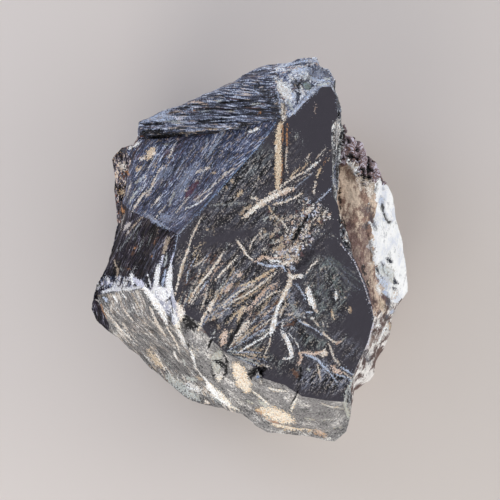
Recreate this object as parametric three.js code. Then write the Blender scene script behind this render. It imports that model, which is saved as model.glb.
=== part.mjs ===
// A hand specimen of hematite: one natural stone that lies on the broken back of its pale matrix.
// The stone is drawn as a polyhedron of named fracture faces. Every face is then cut into small triangles,
// and the broken ones are roughened, while the polished face and the resting face stay flat.
// Millimetres, +Z up. The polished face looks up; its long way runs along Y.

import * as THREE from "three";
import { ImprovedNoise } from "three/addons/math/ImprovedNoise.js";

// Driving dimensions.
const POLISH_HEIGHT = 29.4; // the polished face over the resting face, at the middle of the stone
const POLISH_FALL = 0.1; // drop of the polished face for each millimetre towards +X
const LONGEST_EDGE = 3.4; // longest side of a triangle on the finished stone

// About how far each kind of surface wanders from its flat face.
const FLAT = 0;
const SMOOTH = 0.2;
const BROKEN = 0.5;
const GRANULAR = 0.95;

// The wandering is a long wave with a weaker short wave on it.
const LONG_WAVE = 4.5;
const SHORT_WAVE = 1.9;
const SHORT_SHARE = 0.6;
const NOISE_ORIGIN = 40; // an arbitrary place in the noise, away from its mirror planes

// Edge of the polished face, clockwise from its peak. Its height comes from the face's own plane.
const polishEdge = [
  [10.1, 22.9],
  [11.4, 22.9],
  [12.2, 21.5],
  [12.3, 18.6],
  [11.5, 17.3],
  [11.5, 14.1],
  [11.7, 7.6],
  [12.4, 6.2],
  [12.7, 1.7],
  [13.8, -0.1],
  [15.2, -2.0],
  [16.8, -5.9],
  [17.5, -9.6],
  [16.6, -13.0],
  [14.8, -16.9],
  [14.5, -18.7],
  [13.6, -20.0],
  [13.2, -21.4],
  [10.8, -21.2],
  [7.3, -20.6],
  [4.9, -19.0],
  [1.7, -18.0],
  [0.0, -16.0],
  [-3.2, -14.6],
  [-5.7, -12.3],
  [-7.1, -10.2],
  [-9.0, -9.0],
  [-10.5, -7.0],
  [-10.8, -5.3],
  [-10.6, -1.7],
  [-10.1, 2.2],
  [-6.3, 6.3],
  [-3.1, 9.9],
  [-1.8, 11.3],
  [0.9, 14.1],
  [3.5, 17.2],
  [3.8, 18.3],
  [5.5, 18.5],
  [7.2, 20.2],
  [8.7, 21.6],
];

// The widest outline, clockwise from the left end of the top ledge.
const girdle = [
  [-16.1, 18.4, 17.0],
  [-13.3, 19.7, 16.5],
  [-8.2, 21.5, 17.5],
  [-3.5, 23.8, 18.5],
  [-1.0, 25.2, 19.0],
  [2.6, 26.7, 20.0],
  [4.9, 26.9, 21.0],
  [6.7, 27.5, 21.5],
  [9.7, 27.4, 22.0],
  [10.0, 26.1, 22.5],
  [11.0, 25.8, 22.5],
  [11.9, 24.3, 22.0],
  [12.6, 21.8, 21.0],
  [13.2, 19.8, 20.0],
  [13.4, 17.2, 18.0],
  [15.0, 16.2, 13.0],
  [16.5, 14.5, 12.0],
  [18.8, 11.7, 11.0],
  [19.9, 10.0, 10.0],
  [20.9, 7.9, 10.0],
  [22.3, 1.0, 9.0],
  [23.0, -3.7, 8.0],
  [23.4, -6.2, 8.0],
  [22.3, -7.8, 8.0],
  [21.1, -9.6, 8.0],
  [20.6, -12.6, 8.0],
  [18.7, -16.5, 9.0],
  [17.2, -19.1, 10.0],
  [15.2, -20.8, 12.0],
  [14.8, -22.6, 17.0],
  [14.6, -24.6, 17.0],
  [13.9, -26.2, 17.0],
  [12.3, -27.7, 16.0],
  [6.7, -27.0, 16.5],
  [2.6, -26.2, 16.0],
  [-1.5, -23.6, 14.5],
  [-5.1, -23.0, 12.5],
  [-7.6, -22.3, 12.0],
  [-9.7, -21.6, 11.0],
  [-15.2, -17.3, 10.0],
  [-20.8, -12.1, 10.0],
  [-22.4, -10.3, 10.0],
  [-23.2, -8.7, 11.0],
  [-22.8, -6.9, 12.0],
  [-21.5, -3.5, 12.5],
  [-19.8, 0.7, 12.5],
  [-19.3, 3.7, 13.0],
  [-19.6, 7.3, 13.0],
  [-19.9, 13.1, 13.0],
  [-18.7, 14.9, 14.0],
  [-16.4, 15.8, 15.0],
  [-16.5, 16.6, 15.5],
];

// A lower outline where the flanks turn in under the stone, clockwise like the girdle.
const keel = [
  [-13.5, 17.0, 7.5],
  [-5.0, 22.5, 8.0],
  [4.5, 25.0, 9.0],
  [10.5, 22.5, 8.5],
  [14.5, 14.5, 5.0],
  [19.5, 7.5, 3.5],
  [21.5, -3.0, 3.0],
  [20.5, -8.5, 3.0],
  [17.5, -15.5, 3.5],
  [13.2, -22.5, 6.0],
  [8.0, -25.0, 7.0],
  [-1.0, -22.5, 6.5],
  [-10.0, -18.5, 4.5],
  [-18.0, -11.5, 4.0],
  [-20.5, -6.5, 5.0],
  [-18.0, 1.5, 5.0],
  [-17.8, 11.5, 6.0],
];

// Outline of the flat resting face, clockwise like the girdle.
const footprint = [
  [-11.0, 13.0, 0],
  [-3.0, 18.5, 0],
  [6.0, 19.0, 0],
  [12.5, 13.0, 0],
  [17.0, 5.0, 0],
  [18.0, -5.5, 0],
  [14.5, -14.5, 0],
  [6.5, -19.5, 0],
  [-3.0, -18.0, 0],
  [-12.5, -12.0, 0],
  [-15.0, -3.5, 0],
  [-14.0, 6.5, 0],
];

// Lines inside the seen side, each named for what it is.
const lines = {
  // lower lip of the fibrous top ledge, and the foot of the small riser under it, left to right
  lip: [
    [-16.0, 17.0, 18.5],
    [-10.0, 16.8, 22.0],
    [-4.5, 16.9, 25.8],
  ],
  foot: [
    [-16.2, 16.3, 16.8],
    [-10.0, 16.2, 20.6],
    [-4.5, 16.5, 25.0],
  ],
  // seam between the top ledge and the pale crest, top to bottom
  crest: [
    [3.7, 25.7, 23.0],
    [4.2, 21.1, 27.5],
  ],
  // break between the blue slope and the narrow left face, top to bottom
  edge: [
    [-17.3, 14.9, 17.0],
    [-17.8, 10.4, 16.8],
    [-18.4, 6.8, 16.0],
  ],
  // break between the blue slope and the dark flank, left to right
  brow: [
    [-16.8, 5.5, 20.0],
    [-13.9, 4.3, 24.5],
  ],
  // hard edge between the dark flank and the grey cheek, right to left
  sill: [
    [-15.2, -5.3, 23.5],
    [-18.6, -5.9, 18.5],
    [-22.1, -6.6, 14.0],
  ],
  // left end of the grey cheek, top to bottom
  end: [
    [-21.3, -9.1, 13.5],
    [-20.7, -10.9, 12.0],
  ],
  // ridge between the grey cheek and the bevel under the polished face, top to bottom
  ridge: [
    [-13.0, -7.7, 25.5],
    [-10.7, -10.7, 26.5],
    [-8.5, -14.0, 25.5],
    [-6.9, -18.3, 21.5],
    [-4.2, -21.4, 17.8],
  ],
  // where the hematite's right wall meets the matrix, top to bottom
  wall: [
    [12.9, 14.6, 17.5],
    [12.4, 12.0, 17.0],
    [12.3, 8.2, 17.0],
    [12.8, 6.0, 17.0],
    [13.0, 1.6, 17.0],
    [14.1, -0.3, 17.0],
    [15.5, -2.2, 17.0],
    [17.1, -6.0, 17.0],
    [17.8, -9.7, 17.0],
    [16.9, -13.2, 17.0],
    [15.1, -17.1, 17.0],
    [14.8, -18.8, 16.5],
  ],
  // lower border of the granular crust, left to right
  crust: [
    [14.4, 12.7, 17.0],
    [15.6, 10.9, 16.5],
  ],
  // break between the brown and the white matrix, top to bottom
  spine: [
    [17.9, 10.0, 14.5],
    [18.0, 7.2, 15.0],
    [17.4, 2.0, 15.0],
    [18.0, -3.0, 14.0],
    [19.4, -6.8, 12.5],
  ],
};

// Every corner of the polyhedron by name, such as girdle3.
const corners = new Map();
polishEdge.forEach(([x, y], i) =>
  corners.set("polish" + i, new THREE.Vector3(x, y, POLISH_HEIGHT - POLISH_FALL * x)),
);
for (const [name, points] of Object.entries({ girdle, keel, footprint, ...lines })) {
  points.forEach((point, i) => corners.set(name + i, new THREE.Vector3(...point)));
}

// The names of a stretch of one line, forwards or backwards.
function stretch(name, first, last) {
  const step = last >= first ? 1 : -1;
  const count = Math.abs(last - first) + 1;
  return Array.from({ length: count }, (_, i) => name + (first + step * i));
}

// The fracture faces of the seen side, each counter-clockwise from outside.
const faces = [
  { relief: FLAT, outline: stretch("polish", 39, 0) },
  {
    // fibrous top ledge
    relief: BROKEN,
    outline: ["polish36", "crest1", "crest0", ...stretch("girdle", 5, 0), ...stretch("lip", 0, 2)],
  },
  {
    // riser under the ledge
    relief: SMOOTH,
    outline: [...stretch("foot", 0, 2), "polish36", ...stretch("lip", 2, 0)],
  },
  { relief: SMOOTH, outline: ["girdle51", "foot0", "lip0", "girdle0"] },
  {
    // blue slope
    relief: BROKEN,
    outline: [
      "foot0",
      ...stretch("edge", 0, 2),
      ...stretch("brow", 0, 1),
      ...stretch("polish", 30, 36),
      "foot2",
      "foot1",
    ],
  },
  {
    // narrow left face
    relief: BROKEN,
    outline: ["foot0", ...stretch("girdle", 51, 46), ...stretch("edge", 2, 0)],
  },
  {
    // dark flank
    relief: BROKEN,
    outline: [
      "brow0",
      "edge2",
      "girdle46",
      "girdle45",
      "girdle44",
      ...stretch("sill", 2, 0),
      ...stretch("polish", 28, 30),
      "brow1",
    ],
  },
  {
    // rounded shoulder where the flank, the cheek and the polished face meet
    relief: SMOOTH,
    outline: ["sill0", "ridge0", "ridge1", "polish27", "polish28"],
  },
  {
    // small dark end of the cheek
    relief: BROKEN,
    outline: [...stretch("girdle", 44, 40), "end1", "end0", "sill2"],
  },
  {
    // grey cheek
    relief: BROKEN,
    outline: [
      "sill2",
      "end0",
      "end1",
      ...stretch("girdle", 40, 35),
      ...stretch("ridge", 4, 0),
      "sill0",
      "sill1",
    ],
  },
  {
    // bevel under the polished face, in three parts from left to right
    relief: BROKEN,
    outline: [...stretch("ridge", 1, 4), ...stretch("polish", 22, 27)],
  },
  {
    relief: BROKEN,
    outline: ["ridge4", "girdle35", "girdle34", ...stretch("polish", 20, 22)],
  },
  {
    relief: SMOOTH,
    outline: [...stretch("girdle", 34, 29), ...stretch("polish", 17, 20)],
  },
  {
    // right wall of the hematite, from bottom to top
    relief: SMOOTH,
    outline: ["girdle29", "girdle28", "wall11", "polish15", "polish16", "polish17"],
  },
  {
    relief: SMOOTH,
    outline: [...stretch("wall", 11, 3), ...stretch("polish", 7, 15)],
  },
  {
    relief: BROKEN,
    outline: [...stretch("wall", 3, 0), ...stretch("girdle", 14, 11), ...stretch("polish", 1, 7)],
  },
  {
    // pale crest
    relief: BROKEN,
    outline: [
      ...stretch("polish", 36, 39),
      "polish0",
      "polish1",
      ...stretch("girdle", 11, 5),
      "crest0",
      "crest1",
    ],
  },
  {
    // granular crust on the matrix
    relief: GRANULAR,
    outline: ["wall1", "crust0", "crust1", "spine0", ...stretch("girdle", 18, 14), "wall0"],
  },
  {
    // brown matrix
    relief: BROKEN,
    outline: [...stretch("wall", 1, 8), ...stretch("spine", 4, 0), "crust1", "crust0"],
  },
  {
    // white matrix
    relief: SMOOTH,
    outline: [...stretch("spine", 0, 4), ...stretch("girdle", 23, 18)],
  },
  {
    // mixed matrix below them
    relief: BROKEN,
    outline: [...stretch("wall", 8, 11), ...stretch("girdle", 28, 23), "spine4"],
  },
  { relief: FLAT, outline: stretch("footprint", 0, 11) },
];

// Cuts one many-cornered face into triangles of corner names, in the plane that fits it best.
function cutFace({ relief, outline }) {
  const points = outline.map((name) => corners.get(name));
  const normal = new THREE.Vector3();
  points.forEach((point, i) => {
    const next = points[(i + 1) % points.length];
    normal.add(new THREE.Vector3().crossVectors(point, next));
  });
  const flatten = new THREE.Quaternion().setFromUnitVectors(
    normal.normalize(),
    new THREE.Vector3(0, 0, 1),
  );
  const flat = points.map((point) => point.clone().applyQuaternion(flatten));
  const cut = THREE.ShapeUtils.triangulateShape(
    flat.map(({ x, y }) => new THREE.Vector2(x, y)),
    [],
  );
  return cut.map((triangle) => ({ relief, names: triangle.map((i) => outline[i]) }));
}

// Closes the band between an upper and a lower clockwise loop, always taking the shorter next rung.
function stitchLoops(upper, upperCount, lower, lowerCount, relief) {
  const name = (loop, count, i) => loop + (i % count);
  const triangles = [];
  let u = 0;
  let l = 0;
  while (u < upperCount || l < lowerCount) {
    const here = [name(upper, upperCount, u), name(lower, lowerCount, l)];
    const nextUpper = name(upper, upperCount, u + 1);
    const nextLower = name(lower, lowerCount, l + 1);
    const upperRung = corners.get(nextUpper).distanceTo(corners.get(here[1]));
    const lowerRung = corners.get(nextLower).distanceTo(corners.get(here[0]));
    const takeUpper = l >= lowerCount || (u < upperCount && upperRung <= lowerRung);
    triangles.push({ relief, names: [...here, takeUpper ? nextUpper : nextLower].reverse() });
    if (takeUpper) {
      u += 1;
    } else {
      l += 1;
    }
  }
  return triangles;
}

// Splits the longest sides in turn, on both triangles that share one, until no side is too long.
function refine(points, triangles) {
  const key = (a, b) => (a < b ? a + "," + b : b + "," + a);
  let work = triangles;
  for (;;) {
    const middles = new Map();
    for (const { ids } of work) {
      const sides = ids.map((a, i) => [a, ids[(i + 1) % 3]]);
      const lengths = sides.map(([a, b]) => points[a].distanceTo(points[b]));
      const longest = lengths.indexOf(Math.max(...lengths));
      const [a, b] = sides[longest];
      if (lengths[longest] > LONGEST_EDGE && !middles.has(key(a, b))) {
        middles.set(key(a, b), points.length);
        points.push(points[a].clone().lerp(points[b], 0.5));
      }
    }
    if (!middles.size) {
      return work;
    }
    work = work.flatMap(({ relief, ids }) => {
      const parts = splitTriangle(ids, (a, b) => middles.get(key(a, b)));
      return parts.map((part) => ({ relief, ids: part }));
    });
  }
}

// The one to four triangles that a triangle becomes when some of its sides have a new middle point.
function splitTriangle(ids, middleOf) {
  const middles = ids.map((a, i) => middleOf(a, ids[(i + 1) % 3]));
  const count = middles.filter((middle) => middle !== undefined).length;
  if (count === 0) {
    return [ids];
  }
  if (count === 3) {
    const [ab, bc, ca] = middles;
    return [
      [ids[0], ab, ca],
      [ab, ids[1], bc],
      [ca, bc, ids[2]],
      [ab, bc, ca],
    ];
  }
  const hasMiddle = (i) => middles[i % 3] !== undefined;
  const start = [0, 1, 2].find((i) => hasMiddle(i) && (count === 1 || hasMiddle(i + 1)));
  const [a, b, c] = [0, 1, 2].map((i) => ids[(start + i) % 3]);
  const [ab, bc] = [0, 1].map((i) => middles[(start + i) % 3]);
  if (count === 1) {
    return [
      [a, ab, c],
      [ab, b, c],
    ];
  }
  return [
    [a, ab, c],
    [ab, bc, c],
    [ab, b, bc],
  ];
}

// Moves each broken point along its surface's normal by smooth noise. A point that touches a flat face stays.
function roughen(points, triangles) {
  const noise = new ImprovedNoise();
  const normals = points.map(() => new THREE.Vector3());
  const relief = points.map(() => Infinity);
  for (const { relief: wander, ids } of triangles) {
    const [a, b, c] = ids.map((id) => points[id]);
    const area = new THREE.Vector3().crossVectors(b.clone().sub(a), c.clone().sub(a));
    for (const id of ids) {
      normals[id].add(area);
      relief[id] = Math.min(relief[id], wander);
    }
  }
  const waveAt = (point, size) => {
    const place = point.clone().divideScalar(size).addScalar(NOISE_ORIGIN);
    return noise.noise(place.x, place.y, place.z);
  };
  return points.map((point, id) => {
    const height = waveAt(point, LONG_WAVE) + SHORT_SHARE * waveAt(point, SHORT_WAVE);
    return point.clone().addScaledVector(normals[id].normalize(), height * relief[id]);
  });
}

// The whole stone as one closed mesh, with its origin at the middle of the resting face's bounding box.
function stoneGeometry() {
  const named = [
    ...faces.flatMap(cutFace),
    ...stitchLoops("girdle", girdle.length, "keel", keel.length, BROKEN),
    ...stitchLoops("keel", keel.length, "footprint", footprint.length, BROKEN),
  ];
  const names = [...corners.keys()];
  const points = [...corners.values()];
  const coarse = named.map(({ relief, names: three }) => ({
    relief,
    ids: three.map((name) => names.indexOf(name)),
  }));
  const fine = refine(points, coarse);
  const rough = roughen(points, fine);
  const geometry = new THREE.BufferGeometry().setFromPoints(rough);
  geometry.setIndex(fine.flatMap(({ ids }) => ids));
  geometry.computeBoundingBox();
  const { min, max } = geometry.boundingBox;
  geometry.translate(-(min.x + max.x) / 2, -(min.y + max.y) / 2, -min.z);
  geometry.computeVertexNormals();
  return geometry;
}

const hematite = new THREE.MeshStandardMaterial({ color: 0x3c3a40, roughness: 0.35, metalness: 0.6 });

const stone = new THREE.Mesh(stoneGeometry(), hematite);
stone.name = "hematite_stone";

const specimen = new THREE.Group();
specimen.add(stone);

export default specimen;
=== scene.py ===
"""Looks of a hematite specimen: one natural stone that lies on its broken back, seen from straight above.

The stone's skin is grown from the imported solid. Its triangles are split until they are fine enough for
fibres, veins and grains, and are then moved by the relief of the fracture face that they belong to. Veins,
cracks and cloudy patches are strokes on a plan of the stone, in millimetres, and reach the materials as
fields on the mesh.
"""

import logging
import math
from collections.abc import Callable, Iterator
from dataclasses import dataclass
from enum import Enum
from typing import Any

import bpy
import numpy as np
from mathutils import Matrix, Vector, noise


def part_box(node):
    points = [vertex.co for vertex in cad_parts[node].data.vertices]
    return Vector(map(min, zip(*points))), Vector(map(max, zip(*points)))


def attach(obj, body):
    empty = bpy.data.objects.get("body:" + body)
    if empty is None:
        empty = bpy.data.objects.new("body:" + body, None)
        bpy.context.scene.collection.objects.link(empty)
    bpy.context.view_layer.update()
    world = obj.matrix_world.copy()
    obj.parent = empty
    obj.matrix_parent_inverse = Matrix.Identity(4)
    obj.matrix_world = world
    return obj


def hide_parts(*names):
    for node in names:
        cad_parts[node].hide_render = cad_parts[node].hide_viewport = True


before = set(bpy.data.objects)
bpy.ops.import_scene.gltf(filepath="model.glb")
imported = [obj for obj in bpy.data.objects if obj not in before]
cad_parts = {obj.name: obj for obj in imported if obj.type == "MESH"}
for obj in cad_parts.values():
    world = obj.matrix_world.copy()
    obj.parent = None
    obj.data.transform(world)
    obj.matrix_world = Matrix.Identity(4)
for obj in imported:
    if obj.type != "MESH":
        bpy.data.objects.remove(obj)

LOG = logging.getLogger("hematite")

STONE_NODE = "hematite_stone"
PLAN_LENGTH = 55.05  # the plan is drawn for a stone of this length along Y, in millimetres

Triple = tuple[float, float, float]
Colour = Triple
Pair = tuple[float, float]
Path = tuple[Pair, ...]


def linear(code: str) -> Colour:
    """Turn a display colour into the linear one that shaders use.

    Args:
        code: six hexadecimal digits, red first.

    Returns:
        The linear red, green and blue.
    """
    parts = [int(code[i : i + 2], 16) / 255 for i in (0, 2, 4)]
    return tuple(p / 12.92 if p <= 0.04045 else ((p + 0.055) / 1.055) ** 2.4 for p in parts)


class Zone(Enum):
    """The surfaces of the stone, each with its own way of breaking. The hidden ones come last."""

    POLISH = "polished face"
    LEDGE = "fibrous ledge"
    RISER = "riser under the ledge"
    SLOPE = "blue slope"
    LEFT = "narrow left face"
    FLANK = "dark flank"
    SHOULDER = "pale shoulder"
    END = "dark end of the cheek"
    CHEEK = "grey cheek"
    BEVEL = "bevel under the polished face"
    WALL = "right wall"
    CREST = "pale crest"
    CRUST = "granular crust"
    BROWN = "brown matrix"
    WHITE = "white matrix"
    MIXED = "mixed matrix"
    BACK = "broken back"
    MATRIX_BACK = "matrix on the back"

    @property
    def number(self) -> int:
        """Return the zone's place in the list."""
        return ZONES.index(self)


ZONES = list(Zone)


class Tint(Enum):
    """The minerals that fill veins and patches; INK also paints the shade inside cracks and openings, and SKY
    a painted glint.
    """

    WHITE = linear("f0eeea")
    CREAM = linear("e9dfd2")
    TAN = linear("dac6ab")
    PINK = linear("d6bfae")
    LILAC = linear("dfdee8")
    ICE = linear("c2cde0")
    FROST = linear("c8ccc7")
    HAZE = linear("8a90a0")
    SKY = linear("5f92d8")
    STEEL = linear("8ba5ca")
    SLATE = linear("50545f")
    MOSS = linear("808e8b")
    ORANGE = linear("c08c60")
    RUST = linear("6e5040")
    UMBER = linear("6a5050")
    WINE = linear("5e2f38")
    NAVY = linear("1c2436")
    INK = linear("060508")


(
    WHITE, CREAM, TAN, PINK, LILAC, ICE, FROST, HAZE, SKY,
    STEEL, SLATE, MOSS, ORANGE, RUST, UMBER, WINE, NAVY, INK,
) = Tint

REACH = 0.8  # how far outside a stroke its depth is still measured, in millimetres
HALF_WIDTH = 0.42  # a stroke's solid part on each side of its middle, as a share of its width
TAPER_POWER = 3


def off_segment(start: np.ndarray, step: np.ndarray, plan: np.ndarray) -> tuple[np.ndarray, np.ndarray]:
    """Measure points against one straight segment.

    Args:
        start: the segment's start.
        step: the way from its start to its end.
        plan: points on the plan, one row each.

    Returns:
        How far along the segment each point lies, from 0 to 1, and its distance from the segment.
    """
    share = np.clip((plan - start) @ step / (step @ step), 0.0, 1.0)
    return share, np.linalg.norm(plan - start - share[:, None] * step, axis=1)


@dataclass(frozen=True)
class Stroke:
    """A vein, crack or patch on the plan of the stone."""

    path: Path
    width: float
    tint: Tint = Tint.CREAM
    ragged: float = 0.6
    strength: float = 1.0
    taper: float = 0.55
    drop: float = 0.06

    def depth(self, plan: np.ndarray) -> np.ndarray:
        """Measure how deep points lie inside the stroke.

        Args:
            plan: points on the plan, one row each.

        Returns:
            Millimetres inside the stroke's edge, negative outside it.
        """
        path = np.array(self.path)
        starts, steps = path[:-1], np.diff(path, axis=0)
        spans = np.linalg.norm(steps, axis=1)
        run = np.concatenate([[0.0], np.cumsum(spans)])
        nearest, along = np.full(len(plan), np.inf), np.zeros(len(plan))
        for start, step, span, before in zip(starts, steps, spans, run):
            share, shaded_gap = off_segment(start, step, plan)
            along = np.where(shaded_gap < nearest, (before + share * span) / run[-1], along)
            nearest = np.minimum(shaded_gap, nearest)
        narrowing = self.taper * np.abs(2.0 * along - 1.0) ** TAPER_POWER
        return HALF_WIDTH * self.width * (1.0 - narrowing) - nearest

    def near(self, plan: np.ndarray) -> np.ndarray:
        """Number the points that lie within reach of the stroke."""
        path = np.array(self.path)
        margin = self.width / 2 + REACH
        return np.flatnonzero(((plan > path.min(0) - margin) & (plan < path.max(0) + margin)).all(axis=1))


def marks(tint: Tint, *rows: tuple[float, ...], taper: float = 0.55, drop: float = 0.06) -> Iterator[Stroke]:
    """Make strokes of one mineral.

    Args:
        tint: the mineral.
        rows: for each stroke its width, raggedness and strength, then x and y of each point of its path.
        taper: how much narrower the strokes' ends are.
        drop: how deep the strokes lie under the surface, in millimetres.

    Yields:
        The strokes.
    """
    for width, ragged, strength, *path in rows:
        yield Stroke(tuple(zip(path[::2], path[1::2])), width, tint, ragged, strength, taper, drop)


def cracks(*rows: tuple[float, ...]) -> tuple[Stroke, ...]:
    """Make dark openings, painted black as their shade.

    Args:
        rows: for each crack its width, raggedness, strength and depth, then x and y of each point.

    Returns:
        The cracks.
    """
    return tuple(next(marks(INK, (*row[:3], *row[4:]), drop=row[3])) for row in rows)


@dataclass(frozen=True)
class Spray:
    """Fine streaks that fan out from one place of the plan, between two bearings and two distances."""

    focus: Pair
    bearings: Pair
    reach: Pair
    count: int
    tints: tuple[Tint, ...]
    lengths: Pair = (1.2, 4.0)
    widths: Pair = (0.14, 0.3)
    strengths: Pair = (0.5, 0.95)
    seed: int = 1
    bend: float = 0.3
    raggedness: Pair = (0.6, 1.6)
    taper: float = 0.8
    drop: float = 0.03

    def strokes(self) -> Iterator[Stroke]:
        """Deal out the streaks."""
        dice = np.random.default_rng(self.seed)
        for _ in range(self.count):
            bearing, near = math.radians(dice.uniform(*self.bearings)), dice.uniform(*self.reach)
            far = min(near + dice.uniform(*self.lengths), self.reach[1] + self.lengths[0])
            bend = dice.normal(0.0, self.bend) / far
            x, y = self.focus
            path = tuple(
                (x + span * math.cos(bearing + turn), y + span * math.sin(bearing + turn))
                for span, turn in ((near, 0.0), ((near + far) / 2, bend), (far, 0.0))
            )
            tint = self.tints[int(dice.integers(len(self.tints)))]
            ranges = (self.widths, self.raggedness, self.strengths)
            width, ragged, strength = (dice.uniform(*pair) for pair in ranges)
            yield Stroke(path, width, tint, ragged, strength, self.taper, self.drop)


@dataclass
class Ink:
    """What a set of strokes leaves on a set of points."""

    level: np.ndarray
    ragged: np.ndarray
    strength: np.ndarray
    colour: np.ndarray
    drop: np.ndarray


def draw(strokes: tuple[Stroke, ...], plan: np.ndarray) -> Ink:
    """Draw strokes on points, the deepest stroke winning.

    Args:
        strokes: the strokes to draw.
        plan: points on the plan, one row each.

    Returns:
        The depth, raggedness, strength and colour at every point.
    """
    count = len(plan)
    zeros, colours = np.zeros((3, count)), np.tile(CREAM.value, (count, 1))
    ink = Ink(np.full(count, -REACH), zeros[0], zeros[1], colours, zeros[2])
    for stroke in strokes:
        near = stroke.near(plan)
        depth = stroke.depth(plan[near])
        wins = depth > ink.level[near]
        near = near[wins]
        ink.level[near] = depth[wins]
        ink.ragged[near] = stroke.ragged * stroke.width / 2
        ink.strength[near] = stroke.strength
        ink.colour[near] = stroke.tint.value
        ink.drop[near] = stroke.drop
    return ink


# Veins of the polished face, by their place on the plan: the upright vein and the band that climbs from it.
UPRIGHT_VEINS = (
    *marks(TAN, (1.15, 0.45, 1, 4.3, 18, 3.9, 16.5, 3.9, 13, 3.9, 11, 3.8, 8.8), taper=0.4),
    *marks(CREAM,
        (0.5, 0.9, 1, 3.7, 16.6, 3.6, 14.5, 3.7, 12, 3.6, 9.4),
        (0.28, 0.9, 0.7, 5.1, 14.6, 4.9, 12.3, 5.2, 10.8),
        (1, 0.45, 1, -1, 4.6, 0.2, 5.6, 1.7, 6.8, 3, 7.5, 4.4, 8.2, 5.9, 8.8),
        (0.4, 0.6, 1, 2.6, 8, 4.2, 8.9, 5.4, 9.9, 6.6, 10.6, 7.6, 11.1),
        (0.28, 0.8, 0.7, 7.7, 12.5, 8.3, 13.7), (0.2, 0.7, 0.7, 9.1, 12.9, 9.9, 13.7, 10.6, 14.5),
        (0.16, 0.9, 0.6, 10, 13.3, 11.3, 14.2), (0.42, 0.5, 1, 3.2, 6.5, 4.6, 6.8, 5.9, 7.3, 7.2, 8),
        (0.18, 0.9, 0.6, 5.8, 9.4, 7.2, 10.2, 8.6, 10.9), (0.42, 0.9, 0.8, 9.2, 9.8, 8.9, 8.8, 8.9, 7.8),
        (0.7, 1.6, 0.85, 8.8, 6.3, 7.6, 5.2),
        (0.4, 2, 0.75, 9.4, 5.3, 8.7, 4.2, 7.9, 2.9, 7.3, 1.6, 6.6, 0.3),
        (0.5, 1, 0.8, 3.6, 4.7, 4.6, 3.9, 5.2, 3, 5, 2), (0.6, 1.8, 0.6, 5.2, 4.3, 6.5, 5),
        (0.5, 0.7, 0.85, 0, 7.5, 1, 7.2),
    ),
    *marks(ORANGE,
        (0.3, 0.5, 0.8, 4.5, 17.6, 4.5, 16, 4.4, 14.8), (0.22, 0.8, 0.7, 4.4, 13.6, 4.4, 11.4, 4.2, 9.5),
        (0.26, 0.6, 0.85, 5.1, 17.8, 5.1, 16, 5.1, 14.5), (0.2, 0.6, 0.8, 10.2, 12.3, 10.5, 12.8),
    ),
    *marks(FROST,
        (0.18, 0.7, 0.5, 6.3, 16.9, 6.3, 15.5), (0.15, 0.7, 0.4, 6.6, 16.6, 6.6, 15.7),
        (0.12, 0.7, 0.4, 7.3, 15.6, 7.3, 14.7), (0.17, 0.4, 0.7, 8.8, 2.3, 10.2, 2.4, 11.3, 2.2, 12.2, 1.8),
        (0.3, 0.9, 0.4, -3.8, 6.4, -2.2, 6.7, -0.5, 6.6),
    ),
    *marks(PINK, (0.14, 0.5, 0.6, 9.1, 20.6, 9, 19.1), (0.65, 0.7, 1, 3.2, 7.6, 4.6, 8.1, 6.2, 8.7)),
    *marks(TAN,
        (0.4, 0.8, 0.8, -0.6, 4.8, 0.9, 6, 2.2, 7, 3.4, 8), (0.3, 0.7, 0.9, 5.3, 10, 6.1, 10.9, 6.9, 11.7),
        (0.2, 0.9, 0.7, 6.8, 10.9, 7.6, 11.9, 8.4, 12.6), (0.25, 0.6, 0.8, 10.8, 12.6, 11, 12.9),
        (0.34, 0.6, 1, 9.9, 11.8, 9.5, 10.8, 9.3, 10.1), (0.34, 0.7, 0.9, 2.5, 6.2, 2.9, 5.4, 3.8, 4.6),
        (0.5, 0.5, 0.8, -2.7, 10, -2.5, 9.5), (0.65, 0.7, 0.85, -1.8, 7.7, -1.2, 8.3),
        (0.5, 1.2, 0.4, 0.9, 10.3, 1.1, 10), (0.36, 0.8, 0.5, -3.5, 8.9, -3.2, 8.7),
        (0.5, 1.2, 0.5, 0.3, 6.4, -0.8, 5.9, -1.5, 5),
    ),
    *marks(WHITE, (0.42, 0.6, 1, 7.5, 10.8, 8.3, 11.6, 9.1, 12.2, 9.8, 12.8), taper=0.8),
    *marks(ICE,
        (0.14, 0.6, 0.8, 3.6, 6.9, 5.2, 7.4, 6.6, 8.3), (0.2, 0.9, 0.5, 6.1, 8.8, 7.4, 9.8, 8.8, 11),
        (0.3, 0.8, 0.85, 11.4, 8.9, 10.3, 7.7, 9.2, 6.8), (0.3, 0.8, 0.8, 8.3, 5.2, 7.9, 4.2),
    ),
    *marks(WHITE, (0.5, 0.5, 0.9, 7, 3, 7.4, 3), (0.36, 0.5, 0.9, 6.1, 0.7, 6.6, 0.5, 6.6, 0, 6.3, -1)),
)

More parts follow.
